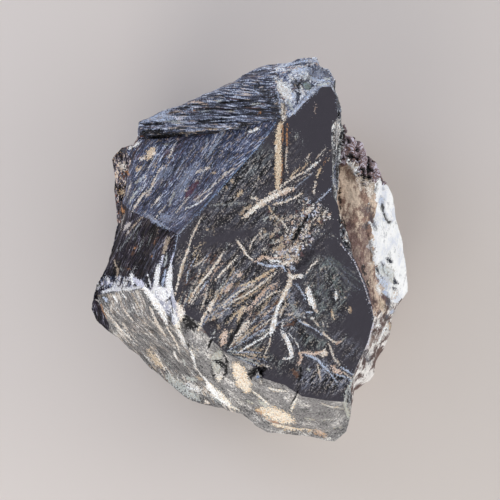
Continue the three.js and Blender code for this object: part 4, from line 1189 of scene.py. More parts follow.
def bend_borders(skin: Skin, sway: float = 1.4, size: float = 1.5) -> None:
    """Sort neighbouring zones again along crooked borders, now that their triangles are small.

    Args:
        skin: the skin.
        sway: how far the borders wander, in millimetres.
        size: how long a bend of a border is, in millimetres.
    """
    finer, shifts = 2.7, (3.0, 40.0)
    for group in CROOKED_BORDERS:
        own = skin.of(*group)
        centres = skin.points[skin.faces[own]].mean(axis=1)
        places = centres / size
        bends = [sample(places + shift) + 0.5 * sample(places * finer - shift) for shift in shifts]
        moved = centres[:, :2] + np.column_stack(bends) * sway
        depths = [inside_depth(PLAN_OUTLINES[zone], moved) for zone in group]
        skin.zones[own] = np.array([zone.number for zone in group])[np.argmax(depths, axis=0)]
    back = skin.of(Zone.BACK, Zone.MATRIX_BACK)
    skin.zones[back] = back_zones(skin.points[skin.faces[back]].mean(axis=1))


@dataclass(frozen=True)
class Break:
    """How a zone broke: the run of its fibres and the height of its relief, in millimetres.

    Each layer of grooves has its share of their depth, its sharpness, and its noise's zoom and shift.
    """

    side: float
    bearing: float = 0.0
    stretch: float = 1.0
    grooves: float = 0.0
    pitch: float = 0.8
    groove_layers: tuple[tuple[float, ...], ...] = ((1.0, 5, 1.0, 0.0), (0.45, 4, 2.3, 7.0))
    lumps: float = 0.2
    lump_size: float = 2.6
    grit: float = 0.04
    grit_size: float = 0.45
    terraces: float = 0.0
    terrace_size: Pair = (16.0, 9.0)
    terrace_sway: float = 0.3  # how far the terraces' edges wander, in pitches
    terrace_bend: float = 3.0  # how long a bend of an edge is
    grains: float = 0.0
    grain_size: float = 1.2
    grain_width: float = 0.62
    fine_grains: Triple = (1.6, 9.0, 0.15)  # how much finer, how far away, how much lower
    flatten: float = 1.0
    flattest: float = 0.2

    def frame(self, normal: np.ndarray) -> np.ndarray:
        """Lay the fibres' own axes on a surface.

        Args:
            normal: the zone's mean normal.

        Returns:
            Three rows: along the fibres, across them, and out of the surface.
        """
        run = np.array([math.cos(math.radians(self.bearing)), math.sin(math.radians(self.bearing)), 0.0])
        run[2] = -(normal @ run) / max(normal[2], self.flattest)
        along = run - normal * (run @ normal)
        along /= np.linalg.norm(along)
        return np.array([along, np.cross(normal, along), normal * self.flatten])

    def height(self, grain: np.ndarray) -> np.ndarray:
        """Work out how far points stand out of the zone's surface.

        Args:
            grain: points along the fibres' own axes.

        Returns:
            Heights in millimetres.
        """

        def waves(size: float, stretch: float, zoom: float = 1.0, shift: float = 0.0) -> np.ndarray:
            """Read noise whose waves have one size across the fibres and are stretched along them."""
            return sample(grain / np.array([size * stretch, size, size]) * zoom + shift)

        height = self.lumps * waves(self.lump_size, self.stretch**0.5)
        height += self.grit * waves(self.grit_size, self.stretch)
        if self.grooves:
            for depth, power, zoom, shift in self.groove_layers:
                ridges = 1.0 - np.abs(waves(self.pitch, self.stretch, zoom, shift))
                height -= self.grooves * depth * ridges**power
        if self.terraces:
            long, tall = self.terrace_size
            sway = self.terrace_sway * sample(grain / self.terrace_bend)
            along, across, out = grain.T
            layers = np.column_stack([along / long, across / self.pitch + sway, out / tall])
            height += self.terraces * sample(layers, "CELLNOISE")
        if self.grains:
            places = grain / self.grain_size
            zoom, shift, sink = self.fine_grains
            coarse, fine = (
                np.array([noise.voronoi(place)[0][0] for place in spots.tolist()])
                for spots in (places, places * zoom + shift)
            )
            gaps = np.minimum(coarse, fine + sink)
            domes = np.sqrt(np.clip(1.0 - (gaps / self.grain_width) ** 2, 0.0, 1.0))
            height += self.grains * domes
        return height


BREAKS: dict[Zone, Break] = {
    Zone.POLISH: Break(0.75, 50, 3, lumps=0.0, grit=0.004),
    Zone.LEDGE: Break(0.37, 3, 16, grooves=0.15, pitch=0.66, lumps=0.12, terraces=0.09, flatten=0.15),
    Zone.RISER: Break(0.4, 5, 5, grooves=0.2, lumps=0.15),
    Zone.SLOPE: Break(0.46, 52, 9, grooves=0.05, pitch=0.6, lumps=0.15, grit=0.03, flatten=0.3),
    Zone.LEFT: Break(0.4, 80, 3, grooves=0.12, lumps=0.22),
    Zone.FLANK: Break(0.44, 63, 11, grooves=0.15, pitch=0.7, grit=0.03, flatten=0.3),
    Zone.SHOULDER: Break(0.4, 75, 5, grooves=0.1, pitch=0.6, lumps=0.1),
    Zone.END: Break(0.42, 100, 3, grooves=0.1, lumps=0.15),
    Zone.CHEEK: Break(0.54, -52, 10, grooves=0.07, grit=0.03, flatten=0.25),
    Zone.BEVEL: Break(0.57, -35, 3, grooves=0.03, lumps=0.16, grit=0.03),
    Zone.WALL: Break(0.68, 85, 1.5, grooves=0.16, pitch=0.9, lumps=0.25, grit=0.08),
    Zone.CREST: Break(0.43, 35, 3, grooves=0.14, pitch=0.9, lumps=0.25, grit=0.05),
    Zone.CRUST: Break(0.22, grains=0.85, grain_size=1.5),
    Zone.BROWN: Break(0.48, 80, 1.6, lumps=0.28, grit=0.06),
    Zone.WHITE: Break(0.49, 80, 2, lumps=0.25, lump_size=2.2, grit=0.03),
    Zone.MIXED: Break(0.5, 60, 1.3, lumps=0.4, lump_size=1.8, grit=0.08),
    Zone.BACK: Break(1.5, grooves=0.12, pitch=1.8, lumps=0.35, grit=0.08),
    Zone.MATRIX_BACK: Break(1.5, lumps=0.35, lump_size=2.2, grit=0.09),
}
ZONE_SIDES = np.array([BREAKS[zone].side for zone in ZONES])
FIRST_HIDDEN = Zone.BACK.number
FOOT_LEVEL = 0.02  # the resting face keeps its flatness under this height


class Flow:
    """One shader value: an output socket whose arithmetic adds Math nodes to its tree."""

    def __init__(self, tree: "Tree", socket: bpy.types.NodeSocket) -> None:
        """Wrap a socket of a tree."""
        self.tree, self.socket = tree, socket

    def _math(self, operation: str, first: "Value", second: "Value") -> "Flow":
        """Add a Math node."""
        return self.tree.node("ShaderNodeMath", {"operation": operation}, {0: first, 1: second})

    def __add__(self, other: "Value") -> "Flow":
        """Add."""
        return self._math("ADD", self, other)

    __radd__ = __add__

    def __sub__(self, other: "Value") -> "Flow":
        """Subtract."""
        return self._math("SUBTRACT", self, other)

    def __rsub__(self, other: "Value") -> "Flow":
        """Subtract from a number."""
        return self._math("SUBTRACT", other, self)

    def __mul__(self, other: "Value") -> "Flow":
        """Multiply."""
        return self._math("MULTIPLY", self, other)

    __rmul__ = __mul__

    def __abs__(self) -> "Flow":
        """Drop the sign."""
        return self._math("ABSOLUTE", self, 0.0)

    def most(self, other: "Value") -> "Flow":
        """Return the larger of two values."""
        return self._math("MAXIMUM", self, other)

    def rise(self, low: float, high: float) -> "Flow":
        """Rise smoothly from 0 to 1 while the value goes from low to high."""
        settings = {"interpolation_type": "SMOOTHSTEP"}
        return self.tree.node("ShaderNodeMapRange", settings, {0: self, 1: low, 2: high, 3: 0.0, 4: 1.0})


Value = Flow | float
Paint = Flow | Colour


@dataclass(frozen=True)
class Noise:
    """Smooth noise: its waves for each millimetre, its finer layers, and their strength.

    Along the fibres it has only a share of the waves, so that it runs on.
    """

    scale: float
    detail: float = 1.0
    roughness: float = 0.6
    run: float = 1.0


class Tree:
    """The node tree of a material or a world."""

    wave_gain = 9.0  # turns the noise texture's usual range into about two

    def __init__(self, owner: bpy.types.Material | bpy.types.World) -> None:
        """Empty the owner's node tree."""
        owner.use_nodes = True
        self.owner = owner
        self.nodes, self.links = owner.node_tree.nodes, owner.node_tree.links
        self.nodes.clear()

    def node(
        self,
        kind: str,
        settings: dict[str, Any] | None = None,
        inputs: dict[Any, Any] | None = None,
        out: Any = 0,
    ) -> Flow:
        """Add one node.

        Args:
            kind: the node's type.
            settings: the node's own properties, set before its sockets.
            inputs: values or flows for its input sockets, by name or number.
            out: the output socket to return, by name or number.

        Returns:
            The chosen output.
        """
        made = self.nodes.new(kind)
        for name, value in (settings or {}).items():
            setattr(made, name, value)
        for key, value in (inputs or {}).items():
            if isinstance(value, Flow):
                self.links.new(value.socket, made.inputs[key])
            else:
                made.inputs[key].default_value = value
        return Flow(self, made.outputs[out])

    def close(self, shader: Flow, output: str = "ShaderNodeOutputMaterial") -> Any:
        """Link the finished shader to the owner's output, and return the owner."""
        self.links.new(shader.socket, self.nodes.new(output).inputs["Surface"])
        return self.owner

    def field(self, name: str, out: str = "Fac") -> Flow:
        """Read a field of the mesh, as a number or as a Vector."""
        return self.node("ShaderNodeAttribute", {"attribute_name": name}, out=out)

    def times(self, vector: Flow, scale: Paint) -> Flow:
        """Multiply a vector or colour by another."""
        return self.node("ShaderNodeVectorMath", {"operation": "MULTIPLY"}, {0: vector, 1: scale})

    def shade(self, colour: Flow, factor: Value) -> Flow:
        """Multiply a colour by a number."""
        return self.times(colour, self.node("ShaderNodeCombineXYZ", None, {0: factor, 1: factor, 2: factor}))

    def wave(self, grain: Flow, kind: Noise, run: float = 1.0) -> Flow:
        """Read noise between about -1 and 1.

        Args:
            grain: where to read it.
            kind: the kind of noise.
            run: a further share of its waves along the fibres.

        Returns:
            The noise.
        """
        inputs = {
            "Vector": self.times(grain, (kind.run * run, 1.0, 1.0)),
            "Scale": kind.scale,
            "Detail": kind.detail,
            "Roughness": kind.roughness,
        }
        return self.node("ShaderNodeTexNoise", None, inputs, "Fac") * self.wave_gain - self.wave_gain / 2

    def ridge(self, grain: Flow, kind: Noise, width: float, run: float = 1.0) -> Flow:
        """Read lines that are 1 where noise passes zero, and 0 where it is further off than the width."""
        return 1.0 - abs(self.wave(grain, kind, run)).rise(0.0, width)

    def mix(self, base: Paint, top: Paint, factor: Value) -> Flow:
        """Lay one colour over another.

        Args:
            base: the colour underneath.
            top: the colour on top.
            factor: how much of the top colour shows.

        Returns:
            The mixed colour.
        """
        below, above = (paint if isinstance(paint, Flow) else (*paint, 1.0) for paint in (base, top))
        settings = {"data_type": "RGBA", "clamp_factor": True}
        return self.node("ShaderNodeMix", settings, {0: factor, 6: below, 7: above}, 2)

    def principled(self, colour: Paint, roughness: Value, **more: Any) -> Flow:
        """Add the surface shader.

        Args:
            colour: its base colour.
            roughness: its roughness.
            more: its other inputs by name.

        Returns:
            The shader.
        """
        base = colour if isinstance(colour, Flow) else (*colour, 1.0)
        inputs = {"Base Color": base, "Roughness": roughness, **more}
        return self.node("ShaderNodeBsdfPrincipled", None, inputs)


@dataclass
class Surface:
    """What a finish gives the shader: colour, roughness, and fine height in millimetres."""

    colour: Flow
    roughness: Value
    height: Flow


@dataclass(frozen=True)
class Finish:
    """The look of one kind of surface. A kind of finish says how its own ground is made."""

    name: str
    zones: tuple[Zone, ...]
    vein_stain: Colour = (0.7, 0.57, 0.47)
    vein_bloom_and_sparkle: Colour = (1.3, 1.36, 1.44)
    vein_roughness: float = 0.72
    speckle: Noise = Noise(4.2)
    crumb: Noise = Noise(1.7)
    vein_grit: Noise = Noise(5.4, roughness=0.5)
    crack_depth: float = 0.12
    bump_unit: float = 0.001
    ior: float = 1.55

    def ground(self, tree: Tree, grain: Flow) -> Surface:
        """Make the surface without its veins and cracks.

        Args:
            tree: the material's tree.
            grain: millimetres along and across the fibres, and out of the surface.

        Returns:
            The surface.
        """
        raise NotImplementedError

    def dress(self) -> bpy.types.Material:
        """Make the material, with the veins and cracks laid over its ground."""
        tree = Tree(bpy.data.materials.new(self.name))
        grain = tree.field("grain", "Vector")
        surface = self.lace(tree, grain, self.ground(tree, grain))
        bump = tree.node(
            "ShaderNodeBump", None, {"Strength": 1.0, "Distance": self.bump_unit, "Height": surface.height}
        )
        return tree.close(tree.principled(surface.colour, surface.roughness, Normal=bump, IOR=self.ior))

    def lace(self, tree: Tree, grain: Flow, ground: Surface) -> Surface:
        """Lay cracks and veins over a surface, the cracks painted black as the shade in their openings.

        Args:
            tree: the material's tree.
            grain: millimetres along and across the fibres, and out of the surface.
            ground: the surface underneath.

        Returns:
            The surface with its veins.
        """
        speckle, crumb, grit = (tree.wave(grain, kind) for kind in (self.speckle, self.crumb, self.vein_grit))
        level, ragged, strength = (tree.field(name) for name in ("vein", "vein_ragged", "vein_strength"))
        edge = level + (speckle * 0.45 + crumb * 0.32 + grit * 0.3) * (ragged * 0.6 + 0.05) - 0.01
        scatter = (grit + speckle * 0.3 + level * 2.2).rise(0.85, 1.5)
        cover = edge.rise(-0.07, 0.1).most(scatter * 0.7) * strength
        bare = (speckle * 0.6 + crumb * 0.4 + grit * 0.4).rise(-1.4, -0.5)
        bare = bare.most(level.rise(0.0, 0.25) * 0.7 + 0.3)
        mineral = pure = tree.field("vein_colour", "Vector")
        stain = (crumb * 0.5 + speckle * 0.7 + grit * 0.3).rise(-0.2, 1.4) * 0.9
        mineral = tree.mix(mineral, tree.times(pure, self.vein_stain), stain)
        # Paler, bluer specks of the vein mineral, in part painted sparkle.
        bloom_and_highlight = (grit * 0.9 - crumb * 0.4 - speckle * 0.3).rise(0.0, 1.3)
        mineral = tree.mix(mineral, tree.times(pure, self.vein_bloom_and_sparkle), bloom_and_highlight)
        mineral = tree.shade(mineral, 1.05 - (grit * -0.6 - speckle * 0.5 - crumb * 0.2).rise(0.6, 1.5) * 0.5)
        shadow = 1.0 - level.rise(-0.3, 0.02) * strength * ragged.rise(0.0, 0.1) * 0.25
        colour = tree.mix(tree.shade(ground.colour, shadow), mineral, cover * bare)
        # The cracks' black is painted shade inside their openings, and they sink by the crack depth.
        shaded_gap = tree.field("crack") + tree.field("crack_ragged") * (speckle * 0.5 + crumb * 0.6)
        shaded_gap = shaded_gap.rise(-0.06, 0.06) * tree.field("crack_strength")
        roughness = tree.node("ShaderNodeMix", None, {0: cover, 2: ground.roughness, 3: self.vein_roughness})
        height = ground.height + cover * (grit * 0.035 + speckle * 0.02 + 0.03) - shaded_gap * self.crack_depth
        return Surface(tree.mix(colour, INK.value, shaded_gap), roughness, height)


@dataclass(frozen=True)
class PolishedHematite(Finish):
    """Smooth dark hematite with mottled greenish-grey clouds, dust and hair scratches."""

    body: Colour = linear("403d43")
    deep: Colour = linear("0d0d11")
    pale: Colour = linear("cfd2d4")
    dust_and_highlight: Colour = linear("ab9f94")
    fine: Noise = Noise(4.4, run=0.3)
    dot: Noise = Noise(5.6, roughness=0.5)
    mottle: Noise = Noise(1.1, 2.0, 0.65, run=0.3)
    wisp: Noise = Noise(2.4, 2.0, run=0.15)
    scratch: Noise = Noise(1.0, roughness=0.5, run=0.1)
    ior: float = 1.33

    def ground(self, tree: Tree, grain: Flow) -> Surface:
        """Make the smooth dark surface.

        Args:
            tree: the material's tree.
            grain: millimetres along and across the fibres, and out of the surface.

        Returns:
            The surface.
        """
        kinds = (self.fine, self.dot, self.mottle, self.wisp)
        fine, dot, mottle, wisp = (tree.wave(grain, kind) for kind in kinds)
        hairs = tree.ridge(grain, self.scratch, 0.25)
        cloud, haze = tree.field("cloud"), tree.field("cloud_colour", "Vector")
        dark = (mottle * -0.9 - fine * 0.35 - dot * 0.25).rise(-0.6, 0.9) * (cloud * 0.95 + 0.05)
        colour = tree.mix(self.body, self.deep, dark)
        lift = fine * 0.35 + dot * 0.35 + mottle * 0.6 + wisp * 0.25
        colour = tree.mix(colour, haze, (lift + cloud * 0.5).rise(0.0, 2.2) * (cloud * 0.9 + 0.05))
        colour = tree.mix(colour, self.pale, hairs * (fine * 0.7 + dot * 0.4).rise(0.0, 1.2) * cloud * 0.5)
        dusty = (dot * 0.8 + fine * 0.6 - mottle * 0.2).rise(0.6, 1.7)
        colour = tree.mix(colour, self.dust_and_highlight, dusty * cloud * 0.75)
        colour = tree.mix(colour, self.pale, (dot + wisp * 0.4).rise(1.6, 2.3) * (cloud * 0.55 + 0.02))
        return Surface(colour, 0.34 + cloud * 0.3, dot * 0.003 + cloud * lift * 0.008)


@dataclass(frozen=True)
class FibrousHematite(Finish):
    """Broken fibrous hematite: grooves darkened with painted shade, a painted steely sheen and glints on the
    fibres, and pale or rusty flecks.
    """

    # The deep colour is painted shade in the grooves; sheen and glint are painted highlights on the fibres.
    deep: Colour = linear("14131a")
    body: Colour = linear("3d3f4d")
    cast: Colour = linear("2f3a54")
    sheen: Colour = linear("868ea4")
    glint: Colour = linear("dde2ec")
    fleck: Colour = linear("d3c2b2")
    rust: Colour = linear("8f5a3c")
    stretch: float = 7.0
    lift: float = 0.0
    relief_share: float = 4.0
    line_share: float = 0.6
    broad_share: float = 0.3
    cast_share: float = 0.5
    fleck_share: float = 0.6
    rust_share: float = 0.4
    speck_share: float = 0.35
    broad: Noise = Noise(0.9, 2.0)
    fibre: Noise = Noise(2.9, 2.0)
    hair: Noise = Noise(4.8, roughness=0.5, run=1.4)
    patch: Noise = Noise(0.3, 2.0, 0.5)
    speck: Noise = Noise(5.0)
    line: Noise = Noise(1.1, roughness=0.5, run=0.3)
    spot: Noise = Noise(4.4, run=1.6)
    stain: Noise = Noise(3.2, roughness=0.65)
    roughness: float = 0.45
    ior: float = 1.3

    def ground(self, tree: Tree, grain: Flow) -> Surface:
        """Make the fibrous surface.

        Args:
            tree: the material's tree.
            grain: millimetres along and across the fibres, and out of the surface.

        Returns:
            The surface.
        """
        run = 1.0 / self.stretch
        along = (self.broad, self.fibre, self.hair, self.spot, self.stain)
        broad, fibre, hair, spot, stain = (tree.wave(grain, kind, run) for kind in along)
        patch, speck = tree.wave(grain, self.patch), tree.wave(grain, self.speck)
        line = tree.ridge(grain, self.line, 0.35, run)
        # The relief steers the light ramp, so the grooves get painted shade and the ridges painted sheen and
        # glints.
        light = broad * self.broad_share + fibre * 0.45 + hair * 0.6 + line * self.line_share
        light = light + tree.field("relief") * self.relief_share + speck * self.speck_share + self.lift
        colour = tree.mix(self.body, self.cast, patch.rise(-0.5, 0.8) * self.cast_share)
        colour = tree.mix(self.deep, colour, light.rise(-1.3, 0.3))
        colour = tree.mix(colour, self.sheen, light.rise(0.2, 1.6))
        colour = tree.mix(colour, self.glint, light.rise(1.2, 2.2))
        flecks = (spot + patch * 0.4 + fibre * 0.2).rise(1.1, 1.8)
        colour = tree.mix(colour, self.fleck, flecks * self.fleck_share)
        colour = tree.mix(colour, self.rust, (stain - patch * 0.4).rise(1.2, 1.9) * self.rust_share)
        return Surface(colour, self.roughness + flecks * 0.25, fibre * 0.035 + hair * 0.02 + flecks * 0.01)


@dataclass(frozen=True)
class SatinHematite(Finish):
    """Grey hematite with faint striations, painted shade in its grooves, and a pale bloom that is in part
    painted highlight on its ridges.
    """

    deep: Colour = linear("2f2c2d")
    body: Colour = linear("757372")
    # The pale colour is laid where the surface is lit most, in part as painted highlight.
    bloom_and_highlight: Colour = linear("e8e5e0")
    fleck: Colour = linear("a8927a")
    stretch: float = 12.0
    lift: float = 0.0
    relief_share: float = 2.0
    bloom_and_highlight_share: float = 0.85
    fleck_share: float = 0.45
    line_share: float = 0.9
    fibre_share: float = 0.35
    fibre: Noise = Noise(2.6, 2.0, 0.65)
    hair: Noise = Noise(4.6, roughness=0.5, run=1.4)
    spot: Noise = Noise(4.0, run=2.0)
    patch: Noise = Noise(0.4, 2.0)
    fine: Noise = Noise(4.4)
    line: Noise = Noise(0.9, roughness=0.5, run=0.4)
    ior: float = 1.4

    def ground(self, tree: Tree, grain: Flow) -> Surface:
        """Make the worn grey surface.

        Args:
            tree: the material's tree.
            grain: millimetres along and across the fibres, and out of the surface.

        Returns:
            The surface.
        """
        run = 1.0 / self.stretch
        fibre, hair, spot = (tree.wave(grain, kind, run) for kind in (self.fibre, self.hair, self.spot))
        patch, fine = tree.wave(grain, self.patch), tree.wave(grain, self.fine)
        line = tree.ridge(grain, self.line, 0.22, run)
        # The relief steers the light ramp, so the grooves get painted shade and the ridges the painted
        # highlight.
        light = (fibre + hair) * self.fibre_share + fine * 0.65 + patch * 0.35
        light = light + tree.field("relief") * self.relief_share - line * self.line_share + self.lift
        colour = tree.mix(self.deep, self.body, light.rise(-1.5, 0.1))
        bloom_and_highlight = (light + patch * 0.4).rise(0.4, 1.9) * self.bloom_and_highlight_share
        colour = tree.mix(colour, self.bloom_and_highlight, bloom_and_highlight)
        flecks = (spot * 0.9 + patch * 0.9 + fibre * 0.3).rise(0.9, 1.7) * self.fleck_share
        return Surface(tree.mix(colour, self.fleck, flecks), 0.6 + bloom_and_highlight * 0.2, fibre * 0.02 + hair * 0.012)


@dataclass(frozen=True)
class MatrixStone(Finish):
    """Grainy matrix of two minerals that run into each other."""

    first: Colour = linear("9a8171")
    second: Colour = linear("d6cabc")
    pit: Colour = linear("40302f")
    second_share: float = 0.5
    pit_share: float = 0.6
    relief_share: float = 2.0
    contrast: float = 0.12
    blend: float = 0.9
    patch: Noise = Noise(0.45, 2.0, 0.55, run=0.65)
    fine: Noise = Noise(1.4, 2.0, run=0.65)
    grit: Noise = Noise(4.4, roughness=0.5)

    def ground(self, tree: Tree, grain: Flow) -> Surface:
        """Make the grainy surface.

        Args:
            tree: the material's tree.
            grain: millimetres along and across the fibres, and out of the surface.

        Returns:
            The surface.
        """
        patch, fine, grit = (tree.wave(grain, kind) for kind in (self.patch, self.fine, self.grit))
        edge = 0.9 - 1.8 * self.second_share
        share = (patch * 0.7 + fine * 0.5 + grit * 0.2).rise(edge - self.blend, edge + self.blend)
        colour = tree.mix(self.first, self.second, share)
        # Dark pits are laid where the relief is low, in part as painted shade in the hollows.
        depth = fine * -0.7 - tree.field("relief") * self.relief_share - patch * 0.3 + grit * 0.35
        colour = tree.mix(colour, self.pit, depth.rise(0.8, 1.5) * self.pit_share)
        colour = tree.shade(colour, fine * self.contrast + grit * self.contrast * 0.4 + 1.0)
        return Surface(colour, 0.8, fine * 0.03 + grit * 0.008)


@dataclass(frozen=True)
class GrainCrust(Finish):
    """A crust of small dark grains, with painted shade in the gaps between them and pale dust and painted
    highlight on their tops.
    """

    body: Colour = linear("77666b")
    rust: Colour = linear("7c5a48")
    # The pale colour on the grains' tops is in part painted highlight, and the near-black one between them is
    # painted shade.
    dust_and_highlight: Colour = linear("dcd6e4")
    shaded_gap: Colour = linear("060406")
    fine: Noise = Noise(2.2, 2.0)
    grit: Noise = Noise(4.6, roughness=0.5)
    ior: float = 1.3

    def ground(self, tree: Tree, grain: Flow) -> Surface:
        """Make the crust.

        Args:
            tree: the material's tree.
            grain: millimetres along and across the fibres, and out of the surface.

        Returns:
            The surface.
        """
        fine, grit, relief = tree.wave(grain, self.fine), tree.wave(grain, self.grit), tree.field("relief")
        body = tree.mix(self.body, self.rust, (fine * 0.5 - grit * 0.3).rise(-0.2, 1.0))
        # Painted shade where the relief is low between the grains, and pale dust with painted highlight on
        # their tops.
        colour = tree.mix(self.shaded_gap, body, (relief + fine * 0.1).rise(0.12, 0.58))
        colour = tree.mix(colour, self.dust_and_highlight, (relief * 1.6 + fine * 0.3 + grit * 0.5).rise(0.95, 1.75) * 0.8)
        return Surface(colour, 0.42, fine * 0.012 + grit * 0.008)


# The faces' palettes carry part of the form shading as painted light: the blue of the ledge, slope and crest
# is painted reflection of the cool light from the -X, +Y side, the cheek, bevel and shoulder are pale in part
# as painted light from the -Y side, and the riser, the flank and its end are darker in part as painted shade.
FINISHES: tuple[Finish, ...] = (
    PolishedHematite("polished_hematite", (Zone.POLISH,)),
    FibrousHematite(
        "fibrous_ledge", (Zone.LEDGE,), body=linear("434757"), sheen=linear("9aa3b8"), lift=0.72,
        broad_share=0.15, line_share=-1.5, stretch=14.0, relief_share=1.6, speck_share=0.5, rust_share=0.2,
    ),
    FibrousHematite(
        "shaded_riser", (Zone.RISER,), body=linear("282934"), sheen=linear("5d6375"), stretch=6.0
    ),
    FibrousHematite(
        "blue_slope", (Zone.SLOPE,), deep=linear("1c1c24"), body=linear("3d4055"), cast=linear("34425f"),
        sheen=linear("76809c"), glint=linear("d3d8e2"), lift=0.02, relief_share=1.6, speck_share=0.55,
        fleck_share=0.4, rust_share=0.2,
    ),
    FibrousHematite(
        "tan_left_face", (Zone.LEFT,), deep=linear("0c0a0c"), body=linear("403c42"), cast=linear("4d423f"),
        sheen=linear("9b939a"), glint=linear("f0dcc4"), fleck=linear("ecd0b0"), stretch=2.5, lift=0.35,
        relief_share=4.5, broad_share=0.9, fleck_share=0.8, rust_share=0.8, ior=1.2,
    ),
    FibrousHematite(
        "dark_flank", (Zone.FLANK, Zone.END), deep=linear("060508"), body=linear("1e1a24"),
        cast=linear("231a28"), sheen=linear("4f4d5a"), glint=linear("a8a6b2"), rust=linear("6a4636"),
        stretch=9.0, fleck_share=0.08, rust_share=0.1, ior=1.2, vein_stain=(0.75, 0.74, 0.86),
    ),
    FibrousHematite(
        "pale_crest", (Zone.CREST,), deep=linear("1a1822"), body=linear("6a6d7c"), cast=linear("5f7096"),
        sheen=linear("bcc6d8"), glint=linear("fafbfd"), stretch=2.5, lift=1.15, broad_share=0.6,
        rust_share=0.2,
    ),
    FibrousHematite(
        "right_wall", (Zone.WALL,), deep=linear("0a0a0c"), body=linear("45464c"), cast=linear("4c5866"),
        sheen=linear("b4b8bc"), glint=linear("f2f2ee"), fleck=linear("e4e2de"), stretch=1.3, lift=0.5,
        relief_share=6.5, line_share=-0.8, broad_share=1.1, rust_share=0.15, ior=1.2,
    ),
    FibrousHematite(
        "broken_back", (Zone.BACK,), body=linear("33313b"), sheen=linear("63636f"), glint=linear("a4a6b2"),
        stretch=2.5,
    ),
    SatinHematite("grey_cheek", (Zone.CHEEK,), vein_stain=(0.76, 0.68, 0.6)),
    SatinHematite(
        "grey_bevel", (Zone.BEVEL,), deep=linear("1c1a1c"), body=linear("848281"), stretch=2.5, lift=0.08,
        fleck_share=0.15, line_share=0.25, fibre_share=0.2, vein_stain=(0.82, 0.62, 0.38),
        vein_bloom_and_sparkle=(1.22, 1.2, 1.1),
    ),
    SatinHematite(
        "pale_shoulder", (Zone.SHOULDER,), deep=linear("66687c"), body=linear("a9acbc"),
        bloom_and_highlight=linear("fafafa"), lift=0.5, bloom_and_highlight_share=1.0, fleck_share=0.2, vein_stain=(0.75, 0.74, 0.86),
    ),
    GrainCrust("grain_crust", (Zone.CRUST,)),
    MatrixStone("brown_matrix", (Zone.BROWN,), first=linear("947667"), second=linear("d2bda8"), blend=0.7),
    # The white matrix's blue-grey patches are in part painted soft shade.
    MatrixStone(
        "white_matrix", (Zone.WHITE,), first=linear("fcfcfa"), second=linear("dcdfe6"), pit=linear("2c3850"),
        second_share=0.3, pit_share=0.32, contrast=0.03,
    ),
    MatrixStone(
        "mixed_matrix", (Zone.MIXED,), first=linear("5f4942"), second=linear("dcd7d2"), second_share=0.45,
        blend=0.6,
    ),
    MatrixStone("back_matrix", (Zone.MATRIX_BACK,), second=linear("c9c3bd"), second_share=0.6),
)


def put(mesh: bpy.types.Mesh, name: str, values: np.ndarray, domain: str = "POINT") -> None:
    """Store a number or vector field on a mesh.

    Args:
        mesh: the mesh.
        name: the field's name.
        values: one number or three for each element.
        domain: what the field belongs to.
    """
    is_vector = values.ndim == 2
    field = mesh.attributes.new(name, "FLOAT_VECTOR" if is_vector else "FLOAT", domain)
    field.data.foreach_set("vector" if is_vector else "value", values.astype(np.float32).ravel())


def add_object(name: str, data: bpy.types.ID) -> bpy.types.Object:
    """Put a mesh, light or camera into the scene."""
    made = bpy.data.objects.new(name, data)
    bpy.context.scene.collection.objects.link(made)
    return made


@dataclass(frozen=True)
class Board:
    """A grid over the plan that says how fine the skin has to be for the strokes there.

    Sides are shortest on a stroke's edge, and grow with the distance from it. Sizes are in millimetres.
    """

    strokes: tuple[Stroke, ...]
    half: Pair = (24.0, 28.5)
    step: float = 0.12
    open_side: float = 1.0  # where there is no stroke
    finest: float = 0.24
    coarsest: float = 0.5
    width_share: float = 0.62  # a side on a stroke's edge, for each millimetre of its width
    growth: float = 1.8
    edge: float = 0.12
    thinnest: float = 0.18  # thinner strokes get no finer skin

    def sides(self) -> np.ndarray:
        """Measure the strokes on the grid, columns first."""
        columns, rows = (np.arange(-size, size, self.step) for size in self.half)
        grid = np.stack(np.meshgrid(columns, rows, indexing="ij"), axis=-1).reshape(-1, 2)
        sides = np.full(len(grid), self.open_side)
        for stroke in self.strokes:
            if stroke.width < self.thinnest:
                continue
            near = stroke.near(grid)
            finest = min(max(self.width_share * stroke.width, self.finest), self.coarsest)
            away = np.clip(np.abs(stroke.depth(grid[near])) - self.edge, 0.0, None)
            sides[near] = np.minimum(sides[near], finest + self.growth * away)
        return sides.reshape(len(columns), len(rows))

    def reader(self) -> Callable[[np.ndarray], np.ndarray]:
        """Return a function that reads the longest side allowed at points of the plan."""
        sides = self.sides()

        def side(plan: np.ndarray) -> np.ndarray:
            """Read the grid at its places nearest to the points."""
            cells = np.round((plan + np.array(self.half)) / self.step).astype(int)
            cells = np.clip(cells, 0, np.array(sides.shape) - 1)
            return sides[cells[:, 0], cells[:, 1]]

        return side


@dataclass(frozen=True)
class Nudge:
    """A small move of the skin, sideways, round one place of the plan."""

    place: Pair
    push: Pair
    reach: float = 3.0
    ceiling: float = 99.0
    firm_foot: float = 4.0  # the height from which the skin moves all the way
    full: float = 0.7

    def move(self, skin: Skin) -> None:
        """Move the skin's points that lie within reach."""
        height = skin.points[:, 2]
        near = 1.0 - np.linalg.norm(skin.points[:, :2] - self.place, axis=1) / self.reach
        share = ramp(near, 0.0, self.full) * (height < self.ceiling) * ramp(height, 0.0, self.firm_foot)
        skin.points[:, :2] += share[:, None] * np.array(self.push)


